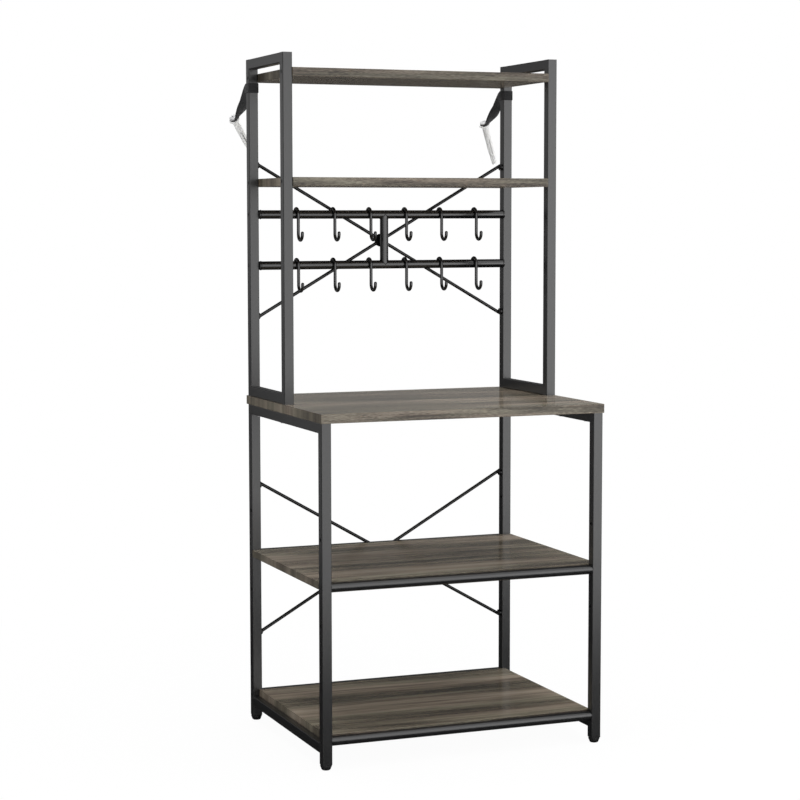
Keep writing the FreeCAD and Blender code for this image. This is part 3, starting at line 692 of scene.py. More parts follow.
class Piece:
    """One mesh in the making, whose solids are added one by one."""

    def __init__(self, name: str) -> None:
        """Start an empty mesh.

        Args:
            name: the piece's name.
        """
        self.name = name
        self.mesh = bmesh.new()
        self.along = self.mesh.verts.layers.float.new("along")
        self.across = self.mesh.verts.layers.float.new("across")

    def loft(self, rings: Sequence[Sequence[Vector]], closed: bool = False,
             marks: Optional[Sequence[Sequence[Point2]]] = None) -> None:
        """Skin a row of rings into one closed solid.

        Args:
            rings: rings of equally many points each.
            closed: whether the last ring meets the first one instead of two caps.
            marks: the (along, across) distances of each point.
        """
        rows = [[self.mesh.verts.new(point) for point in ring] for ring in rings]
        if marks is not None:
            for row, mark_row in zip(rows, marks):
                for vertex, (along, across) in zip(row, mark_row):
                    vertex[self.along] = along
                    vertex[self.across] = across
        count = len(rows[0])
        pairs = list(zip(rows, rows[1:])) + ([(rows[-1], rows[0])] if closed else [])
        for low, high in pairs:
            for index in range(count):
                after = (index + 1) % count
                self.mesh.faces.new((low[index], low[after], high[after], high[index]))
        if not closed:
            self.mesh.faces.new(tuple(reversed(rows[0])))
            self.mesh.faces.new(tuple(rows[-1]))

    def finish(self, finish: Finish, slot: Slot, body: str, replaced: Iterable[str] = (),
               smooth_angle: float = 40.0) -> bpy.types.Object:
        """Turn the mesh into a dressed piece that rides on a body.

        Args:
            finish: its surface finish.
            slot: the record's slot that the finish belongs to; not used.
            body: the body that it moves with.
            replaced: the nodes that it stands for.
            smooth_angle: the angle above which an edge stays sharp, in degrees.

        Returns:
            The piece.
        """
        bmesh.ops.recalc_face_normals(self.mesh, faces=self.mesh.faces)
        limit = math.radians(smooth_angle)
        for edge in self.mesh.edges:
            edge.smooth = not edge.is_manifold or edge.calc_face_angle(0.0) < limit
        for face in self.mesh.faces:
            face.smooth = True
        data = bpy.data.meshes.new(self.name)
        self.mesh.to_mesh(data)
        self.mesh.free()
        piece = bpy.data.objects.new(self.name, data)
        bpy.context.scene.collection.objects.link(piece)
        data.materials.append(finish.material())
        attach(piece, body)
        names = tuple(replaced)
        if names:
            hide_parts(*names)
        LOG.info("%s: %d faces on %s", self.name, len(data.polygons), body)
        return piece


def square_pair(axis: Vector) -> Tuple[Vector, Vector]:
    """Give two directions square to an axis and to each other.

    Args:
        axis: a unit direction.

    Returns:
        The two unit directions.
    """
    helper = X if abs(axis.x) < CLOSE_TO_X else Y
    out = axis.cross(helper).normalized()
    return out, axis.cross(out).normalized()


def circle(centre: Vector, axis: Vector, radius: Callable[[float], float], count: int) -> List[Vector]:
    """Place points round an axis.

    Args:
        centre: the ring's centre.
        axis: the unit direction that it turns about.
        radius: the distance from the axis at an angle.
        count: the number of points.

    Returns:
        The points.
    """
    out, side = square_pair(axis)
    angles = [math.tau * index / count for index in range(count)]
    return [centre + (out * math.cos(angle) + side * math.sin(angle)) * radius(angle) for angle in angles]


# Fasteners ---------------------------------------------------------------------------------

CROSS_BLADE_SHARE = 0.24


class Drive(Enum):
    """The recess in a fastener's head."""

    HEX = "hex"
    CROSS = "cross"

    def reach(self, size: float) -> Callable[[float], float]:
        """Give the outline of the recess.

        Args:
            size: half the size across its flats or its blades, in metres.

        Returns:
            A function from an angle to the outline's distance from the axis.
        """
        if self is Drive.HEX:
            sector = math.pi / 3
            return lambda angle: size / math.cos((angle % sector) - sector / 2)
        return lambda angle: self.cross_reach(size, angle)

    @staticmethod
    def cross_reach(size: float, angle: float) -> float:
        """Give the cross outline's distance from the axis at an angle.

        Args:
            size: half the size across the blades, in metres.
            angle: the angle round the axis.

        Returns:
            The distance in metres.
        """
        quarter = math.pi / 2
        turn = abs((angle + quarter / 2) % quarter - quarter / 2)
        blade = CROSS_BLADE_SHARE * size
        return size if size * math.sin(turn) < blade else blade / math.sin(turn)


class Head(Enum):
    """The form of a fastener's head."""

    FLUSH = "flush"
    PAN = "pan"


@dataclass(frozen=True)
class Fastener:
    """A bolt or screw with a drive recess and a threaded shank, in metres."""

    head: Head
    drive: Drive
    head_radius: float
    head_height: float
    shank_radius: float
    pitch: float
    drive_size: float
    drive_depth: float
    pointed: bool = False

    SIDES = 24
    THREAD_STEPS = 4
    THREAD_DEPTH_SHARE = 0.14
    FLUSH_MOUTH, FLUSH_RIM_DEPTH = 0.86, 0.04
    PAN_STEPS = 5
    PAN_MOUTH, PAN_SHOULDER, PAN_RIM_HEIGHT, PAN_SEAT = 0.55, 0.4, 0.1, 0.96
    RECESS_FLOOR, RECESS_WALL, RECESS_WALL_RISE = 0.55, 0.82, 0.2
    BLUNT_LENGTH, POINT_LENGTH = 0.5, 1.5
    BLUNT_END, POINT_END = 0.72, 0.12

    def head_profile(self) -> List[Point2]:
        """List the head's profile from the recess mouth to the shank.

        Returns:
            The (radius, depth) points, with depths below the seat.
        """
        rim, height, shank = self.head_radius, self.head_height, self.shank_radius
        if self.head is Head.FLUSH:
            return [(rim * self.FLUSH_MOUTH, 0.0), (rim, self.FLUSH_RIM_DEPTH * height), (shank, height)]
        turns = [math.pi / 2 * step / self.PAN_STEPS for step in range(self.PAN_STEPS + 1)]
        crown = [(rim * (self.PAN_MOUTH + (1 - self.PAN_MOUTH) * math.sin(turn)),
                  -height * (self.PAN_SHOULDER + (1 - self.PAN_SHOULDER) * math.cos(turn))) for turn in turns]
        return crown + [(rim, -self.PAN_RIM_HEIGHT * height), (rim * self.PAN_SEAT, 0.0), (shank, 0.0)]

    def place(self, piece: Piece, seat: Vector, inward: Vector, length: float) -> None:
        """Add one fastener to a piece.

        Args:
            piece: the mesh that it joins.
            seat: the point where its axis meets the face that it enters.
            inward: the unit direction of its shank.
            length: the length from the seat to its tip, in metres.
        """
        profile = self.head_profile()
        mouth = profile[0][1]
        outline = self.drive.reach(self.drive_size)
        floor = mouth + self.drive_depth
        wall = floor - self.RECESS_WALL_RISE * self.drive_depth
        recess = ((floor, self.RECESS_FLOOR), (wall, self.RECESS_WALL), (mouth, 1.0))
        rings = [circle(seat + inward * depth, inward, lambda angle, s=share: s * outline(angle), self.SIDES)
                 for depth, share in recess]
        rings += [circle(seat + inward * depth, inward, lambda angle, r=radius: r, self.SIDES)
                  for radius, depth in profile]
        piece.loft(rings + self.thread_rings(seat, inward, profile[-1][1], length))

    def thread_rings(self, seat: Vector, inward: Vector, start: float, length: float) -> List[List[Vector]]:
        """Give the rings of the thread, from under the head to the tip.

        Args:
            seat: the point where the axis meets the face that it enters.
            inward: the unit direction of the shank.
            start: the depth at which the shank sets out.
            length: the length from the seat to the tip.

        Returns:
            The rings of points.
        """
        plain = start + self.pitch
        tip = length - (self.POINT_LENGTH if self.pointed else self.BLUNT_LENGTH) * self.shank_radius
        steps = max(2, int((tip - plain) / self.pitch * self.THREAD_STEPS))
        rings = []
        for step in range(steps + 1):
            depth = plain + (tip - plain) * step / steps
            rings.append(circle(seat + inward * depth, inward,
                                lambda angle, d=depth: self.thread_radius(angle, d), self.SIDES))
        end = (self.POINT_END if self.pointed else self.BLUNT_END) * self.shank_radius
        return rings + [circle(seat + inward * length, inward, lambda angle: end, self.SIDES)]

    def thread_radius(self, angle: float, depth: float) -> float:
        """Give the thread's radius at a place on the shank.

        Args:
            angle: the angle round the axis.
            depth: the depth below the seat.

        Returns:
            The radius in metres.
        """
        phase = (depth / self.pitch - angle / math.tau) % 1.0
        crest = abs(phase - 0.5) * 2.0
        return self.shank_radius * (1.0 - self.THREAD_DEPTH_SHARE * crest)


@dataclass(frozen=True)
class LoosePart:
    """One solid of a node: the face that its shank enters, its direction and its length from there."""

    seat: Vector
    inward: Vector
    length: float


def loose_parts(node: str, head_height: float) -> List[LoosePart]:
    """Find the separate fasteners in a node of the frame.

    Args:
        node: the node's name.
        head_height: how far the heads stand proud of their seats, in metres.

    Returns:
        The solids, in the order of their places.
    """
    solid = bmesh.new()
    solid.from_mesh(frame["nodes"][node].data)
    bmesh.ops.remove_doubles(solid, verts=solid.verts, dist=SAME_POINT)
    waiting = set(solid.verts)
    parts = []
    while waiting:
        found = {waiting.pop()}
        front = list(found)
        while front:
            for edge in (vertex := front.pop()).link_edges:
                other = edge.other_vert(vertex)
                if other not in found:
                    found.add(other)
                    front.append(other)
        waiting -= found
        parts.append(describe_part([vertex.co.copy() for vertex in found], head_height))
    solid.free()
    return sorted(parts, key=lambda part: tuple(round(value, SORT_DIGITS) for value in part.seat))


def describe_part(points: Sequence[Vector], head_height: float) -> LoosePart:
    """Work out a fastener's axis and seat from its points.

    Args:
        points: the solid's corners.
        head_height: how far the head stands proud of its seat, in metres.

    Returns:
        The fastener's seat, direction and length.
    """
    low, high = (Vector([pick(point[axis] for point in points) for axis in range(3)]) for pick in (min, max))
    size = high - low
    axis = max(range(3), key=lambda index: size[index])
    middle = (low + high) / 2
    direction = (X, Y, Z)[axis]
    offsets = [point - middle for point in points]
    low_reach, high_reach = (
        max((offset - direction * offset[axis]).length for offset in offsets if (offset[axis] > 0) == upper)
        for upper in (False, True))
    inward = direction if low_reach > high_reach else -direction
    end = middle - inward * (size[axis] / 2)
    return LoosePart(end + inward * head_height, inward, size[axis] - head_height)


@dataclass(frozen=True)
class FastenerSet:
    """All the fasteners of one node."""

    node: str
    fastener: Fastener
    finish: Finish
    slot: Slot

    def build(self) -> None:
        """Replace the node's plain fasteners by detailed ones."""
        piece = Piece(self.node + "_threaded")
        proud = self.fastener.head_height if self.fastener.head is Head.PAN else 0.0
        for part in loose_parts(self.node, proud):
            self.fastener.place(piece, part.seat, part.inward, part.length)
        piece.finish(self.finish, self.slot, "rack", [self.node], smooth_angle=30.0)


SUNK_BOLT = Fastener(Head.FLUSH, Drive.HEX, 4.6 * MM, 1.2 * MM, 3.0 * MM, 1.25 * MM, 2.0 * MM, 2.2 * MM)
PAN_BOLT = Fastener(Head.PAN, Drive.HEX, 5.2 * MM, 3.0 * MM, 3.0 * MM, 1.25 * MM, 2.0 * MM, 2.0 * MM)
BRACE_BOLT = Fastener(Head.PAN, Drive.CROSS, 4.2 * MM, 2.4 * MM, 3.0 * MM, 1.25 * MM, 2.2 * MM, 1.6 * MM)
WOOD_SCREW = Fastener(Head.PAN, Drive.CROSS, 4.0 * MM, 2.2 * MM, 2.0 * MM, 1.6 * MM, 2.1 * MM, 1.5 * MM, True)
WALL_SCREW = Fastener(Head.PAN, Drive.CROSS, 8.6 * MM, 4.4 * MM, 2.5 * MM, 2.0 * MM, 3.4 * MM, 2.4 * MM, True)

FASTENER_SETS = (
    FastenerSet("rail_bolts", SUNK_BOLT, BLACK_STEEL, Slot.BLACK_STEEL),
    FastenerSet("hutch_shelf_bolts", SUNK_BOLT, BLACK_STEEL, Slot.BLACK_STEEL),
    FastenerSet("hook_rail_bolts", SUNK_BOLT, BLACK_STEEL, Slot.BLACK_STEEL),
    FastenerSet("brace_bolts", BRACE_BOLT, BLACK_STEEL, Slot.BLACK_STEEL),
    FastenerSet("hutch_bolts", PAN_BOLT, ZINC, Slot.ZINC),
    FastenerSet("countertop_screws", WOOD_SCREW, ZINC, Slot.ZINC),
    FastenerSet("shelf_screws", WOOD_SCREW, ZINC, Slot.ZINC),
)


# Carried-over nodes ------------------------------------------------------------------------

def dress(node: str, finish: Finish) -> None:
    """Give one node of the frame its finish.

    Args:
        node: the node's name.
        finish: its surface finish.
    """
    for material_slot in frame["nodes"][node].material_slots:
        material_slot.material = finish.material()
    LOG.info("%s: dressed in %s", node, finish.name)


@dataclass(frozen=True)
class SteelWork:
    """The welded frames, rails, hook rail and braces."""

    welded: Tuple[str, ...] = (
        "left_lower_frame", "right_lower_frame", "left_upper_frame", "right_upper_frame",
        "middle_front_rail", "bottom_front_rail", "middle_rear_rail", "bottom_rear_rail")
    bars: Tuple[str, ...] = ("hook_rail_frame",)
    rods: Tuple[str, ...] = (
        "upper_brace_hub", "lower_brace_hub", "upper_brace_rising_rods", "upper_brace_falling_rods",
        "lower_brace_rising_rods", "lower_brace_falling_rods")

    def dress(self) -> None:
        """Coat every node, the thin bars and rods more glossily."""
        for nodes, coat in ((self.welded, FRAME_COAT), (self.bars, BAR_COAT), (self.rods, ROD_COAT)):
            for node in nodes:
                dress(node, coat)
        dress("rivet_nuts", ZINC)


@dataclass(frozen=True)
class WeldBeads:
    """Small rippled weld beads, coated over, inside the frames' corners and round the bars; in metres."""

    leg_x: float = 290.0 * MM
    tube: float = 20.0 * MM
    lower_corners: Tuple[Point2, Point2] = ((-211.0 * MM, 211.0 * MM), (31.3 * MM, 655.0 * MM))
    hutch_corners: Tuple[Point2, Point2] = ((8.6 * MM, 211.0 * MM), (713.0 * MM, 1373.0 * MM))
    bar_y: float = 210.5 * MM
    bar_radius: float = 9.0 * MM
    bar_end: float = 277.0 * MM
    bar_heights: Point2 = (966.4 * MM, 1073.0 * MM)
    rod_y: float = 228.8 * MM
    rod_radius: float = 3.5 * MM
    rod_reach: Point2 = (280.0 * MM, 161.3 * MM)
    hub_radius: float = 14.0 * MM
    hub_heights: Point2 = (346.6 * MM, 1018.0 * MM)
    bead: float = 0.9 * MM
    step: float = 0.7 * MM
    ripple: float = 0.16

    SIDES = 8
    STEPS_PER_RIPPLE = 3
    END_SHARE = 0.3
    CORNER_INSET = 1.5
    SEAM_STRETCH = 1.2

    def lay(self, piece: Piece, path: Sequence[Vector], closed: bool = False) -> None:
        """Lay one bead along a path.

        Args:
            piece: the mesh that it joins.
            path: points a step apart.
            closed: whether the path comes back to its start.
        """
        last = len(path) - 1
        rings = []
        for index, point in enumerate(path):
            before = path[index - 1] if index or closed else point
            after = path[(index + 1) % len(path)] if index < last or closed else point
            radius = self.bead * (1 + self.ripple * math.sin(math.tau * index / self.STEPS_PER_RIPPLE))
            if not closed and index in (0, last):
                radius *= self.END_SHARE
            rings.append(circle(point, (after - before).normalized(), lambda angle, r=radius: r, self.SIDES))
        piece.loft(rings, closed)

    def lay_ring(self, piece: Piece, centre: Vector, axis: Vector, radius: float) -> None:
        """Lay one bead round a bar or rod."""
        count = self.STEPS_PER_RIPPLE * round(math.tau * radius / self.step / self.STEPS_PER_RIPPLE)
        self.lay(piece, circle(centre, axis, lambda angle: radius, count), closed=True)

    def build_corners(self, name: str, corners: Tuple[Point2, Point2]) -> None:
        """Lay the beads across the inner corners of the left and right frame.

        Args:
            name: the piece's name.
            corners: the two depths and the two heights of the corners.
        """
        piece = Piece(name)
        half = self.tube / 2 - self.bead * self.CORNER_INSET
        count = round(2 * half / self.step)
        for side in (-1, 1):
            for y in corners[0]:
                for z in corners[1]:
                    self.lay(piece, [Vector((side * self.leg_x - half + 2 * half * index / count, y, z))
                                     for index in range(count + 1)])
        piece.finish(FRAME_COAT, Slot.FRAME, "rack", smooth_angle=80.0)

    def build_hook_rail(self) -> None:
        """Lay the beads round the bars' ends and along the seams of the upright."""
        piece = Piece("hook_rail_weld_beads")
        count = round(math.tau * self.bar_radius * self.SEAM_STRETCH / self.step)
        for height, toward in zip(self.bar_heights, (1, -1)):
            for side in (-1, 1):
                self.lay_ring(piece, Vector((side * self.bar_end, self.bar_y, height)), X, self.bar_radius)
            seam = []
            for index in range(count):
                angle = math.tau * index / count
                across, out = self.bar_radius * math.cos(angle), self.bar_radius * math.sin(angle)
                seam.append(Vector((across, self.bar_y + out, height + toward * abs(across))))
            self.lay(piece, seam, closed=True)
        piece.finish(BAR_COAT, Slot.FRAME, "rack", smooth_angle=80.0)

    def build_hubs(self) -> None:
        """Lay the beads where the rods meet the hubs."""
        piece = Piece("brace_hub_weld_beads")
        for height in self.hub_heights:
            for side in (-1, 1):
                for rise in (-1, 1):
                    run = Vector((side * self.rod_reach[0], 0.0, rise * self.rod_reach[1])).normalized()
                    centre = Vector((0.0, self.rod_y, height)) + run * self.hub_radius
                    self.lay_ring(piece, centre, run, self.rod_radius)
        piece.finish(BAR_COAT, Slot.FRAME, "rack", smooth_angle=80.0)

    def build(self) -> None:
        """Lay every bead."""
        self.build_corners("lower_frame_weld_beads", self.lower_corners)
        self.build_corners("hutch_frame_weld_beads", self.hutch_corners)
        self.build_hook_rail()
        self.build_hubs()


@dataclass(frozen=True)
class Boards:
    """The countertop and the four shelves, each cut from another place of the grain."""

    cuts: Tuple[Tuple[str, Triple, float, float], ...] = (  # board, grain's place, tone and painted light gain, ends' band and painted shade gain
        ("countertop", (0.0, 0.0, 0.0), 1.05, 0.62),
        ("top_shelf", (3.7, 11.0, 1.9), 0.83, 0.62),
        ("second_shelf", (7.3, 5.0, 4.2), 1.05, 0.62),
        ("middle_shelf", (1.9, 17.0, 6.1), 1.15, 0.40),
        ("bottom_shelf", (5.1, 23.0, 8.4), 1.15, 0.62))

    def dress(self) -> None:
        """Give each board its own place in the grain, its own brightness, which is partly painted light, and
        its own darkening of the ends, which is partly painted shade.
        """
        for node, shift, tone_and_light_gain, end_band_and_shade in self.cuts:
            low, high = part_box(node)
            dress(node, BoardGrain(node + "_grain", high.z, low.z, shift, tone_and_light_gain, end_band_and_shade))


@dataclass(frozen=True)
class Hooks:
    """The twelve loose S-hooks."""

    rows: Tuple[str, ...] = ("upper", "lower")
    count: int = 6

    def dress(self) -> None:
        """Coat every hook."""
        for row in self.rows:
            for index in range(self.count):
                dress(f"{row}_hook_{index + 1}", HOOK_COAT)


@dataclass(frozen=True)
class Feet:
    """The four levelling feet and the inserts that they turn in."""

    places: Tuple[str, ...] = ("front_left", "front_right", "rear_left", "rear_right")

    def dress(self) -> None:
        """Give the feet and inserts their plastic."""
        for place in self.places:
            dress(place + "_foot", FOOT_PLASTIC)
        dress("leg_inserts", FOOT_PLASTIC)


# Anti-tip straps ---------------------------------------------------------------------------

@dataclass(frozen=True)
class Station:
    """One section of webbing: its centre, its two directions and its width."""

    centre: Vector
    across: Vector
    out: Vector
    width: float


@dataclass(frozen=True)
class Tether:
    """One anti-tip strap with its screw and wall plug; sizes in metres."""

    name: str
    side: int
    lean: Triple
    bottom: float
    hole_reach: float
    hole_z: float
    leg_x: float = 290.0 * MM
    leg_y: float = 221.0 * MM
    rear_y: float = 231.0 * MM
    tube: float = 20.0 * MM
    width: float = 20.0 * MM
    thickness: float = 1.0 * MM
    clearance: float = 0.15 * MM
    corner: float = 0.9 * MM
    end_width: float = 18.0 * MM
    hole_radius: float = 2.5 * MM
    screw_length: float = 80.0 * MM
    closing_rate: float = 1.5

    COLUMNS = 8
    STEPS = 28
    CORNER_STEPS = 6
    SELVEDGE_SHARE, SELVEDGE_POWER = 0.42, 12
    RIM_RISE, RIM_POWER = 0.08, 4
    TONGUE_SIDES = 48
    STITCH_PLACES = tuple(place * MM for place in (-1.2, 1.0, 3.2, 5.4, 7.6, 9.8))
    STITCH_EDGE, CROSS_STITCHES, CROSS_STEP = 0.40, 6, 0.133
    STITCH_SWELL = ((0.08, 0.3), (0.2, 0.8), (0.5, 1.0), (0.8, 0.8), (0.92, 0.3))
    STITCH_SUNK, STITCH_LIFT = 0.75, 0.35 * MM
    STITCH_SIDES, STITCH_SIZE = 8, (0.38 * MM, 0.26 * MM)

    @property
    def down(self) -> Vector:
        """Give the direction in which the plug hangs."""
        return Vector(self.lean).normalized()

    @property
    def hole(self) -> Vector:
        """Give the middle of the hole at the strap's free end."""
        return Vector((self.side * self.leg_x, self.rear_y + self.hole_reach, self.hole_z))

    @property
    def root(self) -> Vector:
        """Give the point at the back of the post from which both layers set out."""
        return Vector((self.side * self.leg_x, self.rear_y + self.clearance, self.bottom + self.width / 2))

    def tongue_frame(self) -> Tuple[Vector, Vector, Vector]:
        """Give the start, across and run directions of the flat tongue with the hole."""
        run = square_to(self.hole - self.root, self.down)
        return self.hole - run * (self.end_width / 2), square_to(square_to(-X, self.down), run), run

    def twisted(self, layer_side: int) -> List[Station]:
        """List one layer's sections from the tongue to the flank of the post.

        Args:
            layer_side: -1 for the layer that lies on the post's left, 1 for the other.

        Returns:
            The sections in order.
        """
        half = self.thickness / 2
        flank = self.tube / 2 + self.clearance + half
        tongue, tongue_across, tongue_run = self.tongue_frame()
        normal = tongue_run.cross(tongue_across)
        stations = [Station(tongue + normal * (layer_side * half), tongue_across, normal * layer_side,
                            self.end_width)]
        run = (tongue - self.root).normalized()
        upright = square_to(Z, run)
        axis, angle = upright.rotation_difference(square_to(tongue_across, run)).to_axis_angle()
        for step in range(self.STEPS - 1, 0, -1):
            share = step / self.STEPS
            turn = Quaternion(axis, angle * share)
            out = turn @ run.cross(upright)
            apart = half + (flank - half) * (1 - share) ** self.closing_rate
            centre = self.root + (tongue - self.root) * share + out * (layer_side * apart)
            width = self.width + (self.end_width - self.width) * share
            stations.append(Station(centre, turn @ upright, out * layer_side, width))
        return stations

    def layer(self, layer_side: int) -> List[Station]:
        """List one layer's sections from the tongue to the middle of the post's front face.

        Args:
            layer_side: -1 for the layer that lies on the post's left, 1 for the other.

        Returns:
            The sections in order.
        """
        flank = self.tube / 2 + self.clearance + self.thickness / 2
        root = self.root
        sideways = X * layer_side
        stations = self.twisted(layer_side)
        stations.append(Station(root + sideways * flank, Z, sideways, self.width))
        bend = Vector((root.x, self.leg_y - flank + self.corner, root.z)) + sideways * (flank - self.corner)
        for step in range(self.CORNER_STEPS):
            angle = math.pi / 2 * step / (self.CORNER_STEPS - 1)
            out = sideways * math.cos(angle) - Y * math.sin(angle)
            stations.append(Station(bend + out * self.corner, Z, out, self.width))
        stations.append(Station(Vector((root.x, self.leg_y - flank, root.z)), Z, -Y, self.width))
        return stations

    def section(self, station: Station) -> Tuple[List[Vector], List[float]]:
        """Give the outline of one section, with soft rounded selvedges.

        Args:
            station: the section's place and width.

        Returns:
            The points and their distances across the webbing.
        """
        upper = []
        for index in range(self.COLUMNS + 1):
            share = 2.0 * index / self.COLUMNS - 1.0
            rim = 1.0 + self.RIM_RISE * abs(share) ** self.RIM_POWER
            swell = (1.0 - abs(share) ** self.SELVEDGE_POWER) * rim
            height = self.SELVEDGE_SHARE + (1.0 - self.SELVEDGE_SHARE) * swell
            upper.append((share * station.width / 2, self.thickness / 2 * height))
        points = upper + [(u, -v) for u, v in reversed(upper)]
        return ([station.centre + station.across * u + station.out * v for u, v in points],
                [u for u, v in points])

    def build_strap(self) -> None:
        """Lay one band from the tongue round the post and back, and punch its ends."""
        piece = Piece(self.name + "_strap_webbing")
        stations = self.layer(-1) + list(reversed(self.layer(1)))[1:]
        rings, marks, travelled = [], [], 0.0
        for index, station in enumerate(stations):
            if index:
                travelled += (station.centre - stations[index - 1].centre).length
            points, across = self.section(station)
            rings.append(points)
            marks.append([(travelled, distance) for distance in across])
        piece.loft(rings, marks=marks)
        for end in (stations[0], stations[-1]):
            self.add_tongue(piece, end)
        piece.finish(STRAP_WEAVE, Slot.WEBBING, self.name + "_tether", [self.name + "_wall_strap"],
                     smooth_angle=60.0)

    def add_tongue(self, piece: Piece, end: Station) -> None:
        """Close one layer with a rounded end that has the screw hole in it.

        Args:
            piece: the mesh that it joins.
            end: the layer's last section.
        """
        forward = square_to(self.hole - end.centre, end.out)
        centre = end.centre + forward * (self.end_width / 2)
        half = self.thickness / 2
        loops = []
        for bored, height in ((False, half), (False, -half), (True, -half), (True, half)):
            loop = []
            for index in range(self.TONGUE_SIDES):
                angle = math.tau * index / self.TONGUE_SIDES
                direction = forward * math.cos(angle) + end.across * math.sin(angle)
                reach = self.hole_radius if bored else self.tongue_reach(angle)
                loop.append(centre + direction * reach + end.out * height)
            loops.append(loop)
        marks = [[((point - centre).dot(forward), (point - centre).dot(end.across)) for point in loop]
                 for loop in loops]
        piece.loft(loops, closed=True, marks=marks)

    def tongue_reach(self, angle: float) -> float:
        """Give the tongue's outline: round in front, straight-sided behind."""
        reach = self.end_width / 2
        return reach if math.cos(angle) > 0 else reach / max(abs(math.cos(angle)), abs(math.sin(angle)))

    def build_stitches(self) -> None:
        """Sew the two layers together round the hole in the tongue."""
        piece = Piece(self.name + "_strap_stitches")
        tongue, across, run = self.tongue_frame()
        normal = run.cross(across)
        for face in (-1, 1):
            row = [Station(tongue + run * place + normal * (face * self.thickness / 2), across,
                           normal * face, self.end_width) for place in self.STITCH_PLACES]
            self.sew(piece, row)
        piece.finish(THREAD, Slot.WEBBING, self.name + "_tether", smooth_angle=80.0)

    def sew(self, piece: Piece, stations: Sequence[Station]) -> None:
        """Add two rows of stitches along a stretch and one across its start.

        Args:
            piece: the mesh that they join.
            stations: the sections between which they run.
        """
        for station, after in zip(stations, stations[1:]):
            for share in (-self.STITCH_EDGE, self.STITCH_EDGE):
                self.add_stitch(piece, self.on_face(station, share), self.on_face(after, share), station.out)
        start = stations[0]
        for index in range(self.CROSS_STITCHES):
            share = -self.STITCH_EDGE + self.CROSS_STEP * index
            ends = [self.on_face(start, place) for place in (share, share + self.CROSS_STEP)]
            self.add_stitch(piece, *ends, start.out)

    def on_face(self, station: Station, share: float) -> Vector:
        """Give a point on a layer's outer face, at a share of the width from its middle."""
        return station.centre + station.across * (share * station.width) + station.out * (self.thickness / 2)

    def add_stitch(self, piece: Piece, start: Vector, end: Vector, out: Vector) -> None:
        """Add one stitch of thread as a flattened bead that dips into the webbing at its ends.

        Args:
            piece: the mesh that it joins.
            start: its first point on the webbing.
            end: its last point on the webbing.
            out: the direction away from the webbing.
        """
        run = end - start
        side = run.cross(out).normalized()
        width, height = self.STITCH_SIZE
        turns = [math.tau * index / self.STITCH_SIDES for index in range(self.STITCH_SIDES)]
        rings = []
        for share, swell in self.STITCH_SWELL:
            centre = start + run * share + out * ((swell - self.STITCH_SUNK) * self.STITCH_LIFT)
            wide, high = side * (width * swell), out * (height * swell)
            rings.append([centre + wide * math.cos(turn) + high * math.sin(turn) for turn in turns])
        piece.loft(rings)

    def build_screw(self) -> None:
        """Make the screw that hangs in the strap."""
        piece = Piece(self.name + "_anchor_screw")
        WALL_SCREW.place(piece, self.hole - self.down * self.thickness, self.down, self.screw_length)
        piece.finish(ZINC, Slot.ZINC, self.name + "_tether", [self.name + "_wall_screw"], smooth_angle=30.0)

    def build(self) -> None:
        """Build and dress the strap, its stitches, its screw and its plug."""
        self.build_strap()
        self.build_stitches()
        self.build_screw()
        WallPlug().build(self.name, self.hole + self.down * self.thickness, self.down)


def square_to(direction: Vector, run: Vector) -> Vector:
    """Turn a direction until it is square to a run."""
    return (direction - run * direction.dot(run)).normalized()


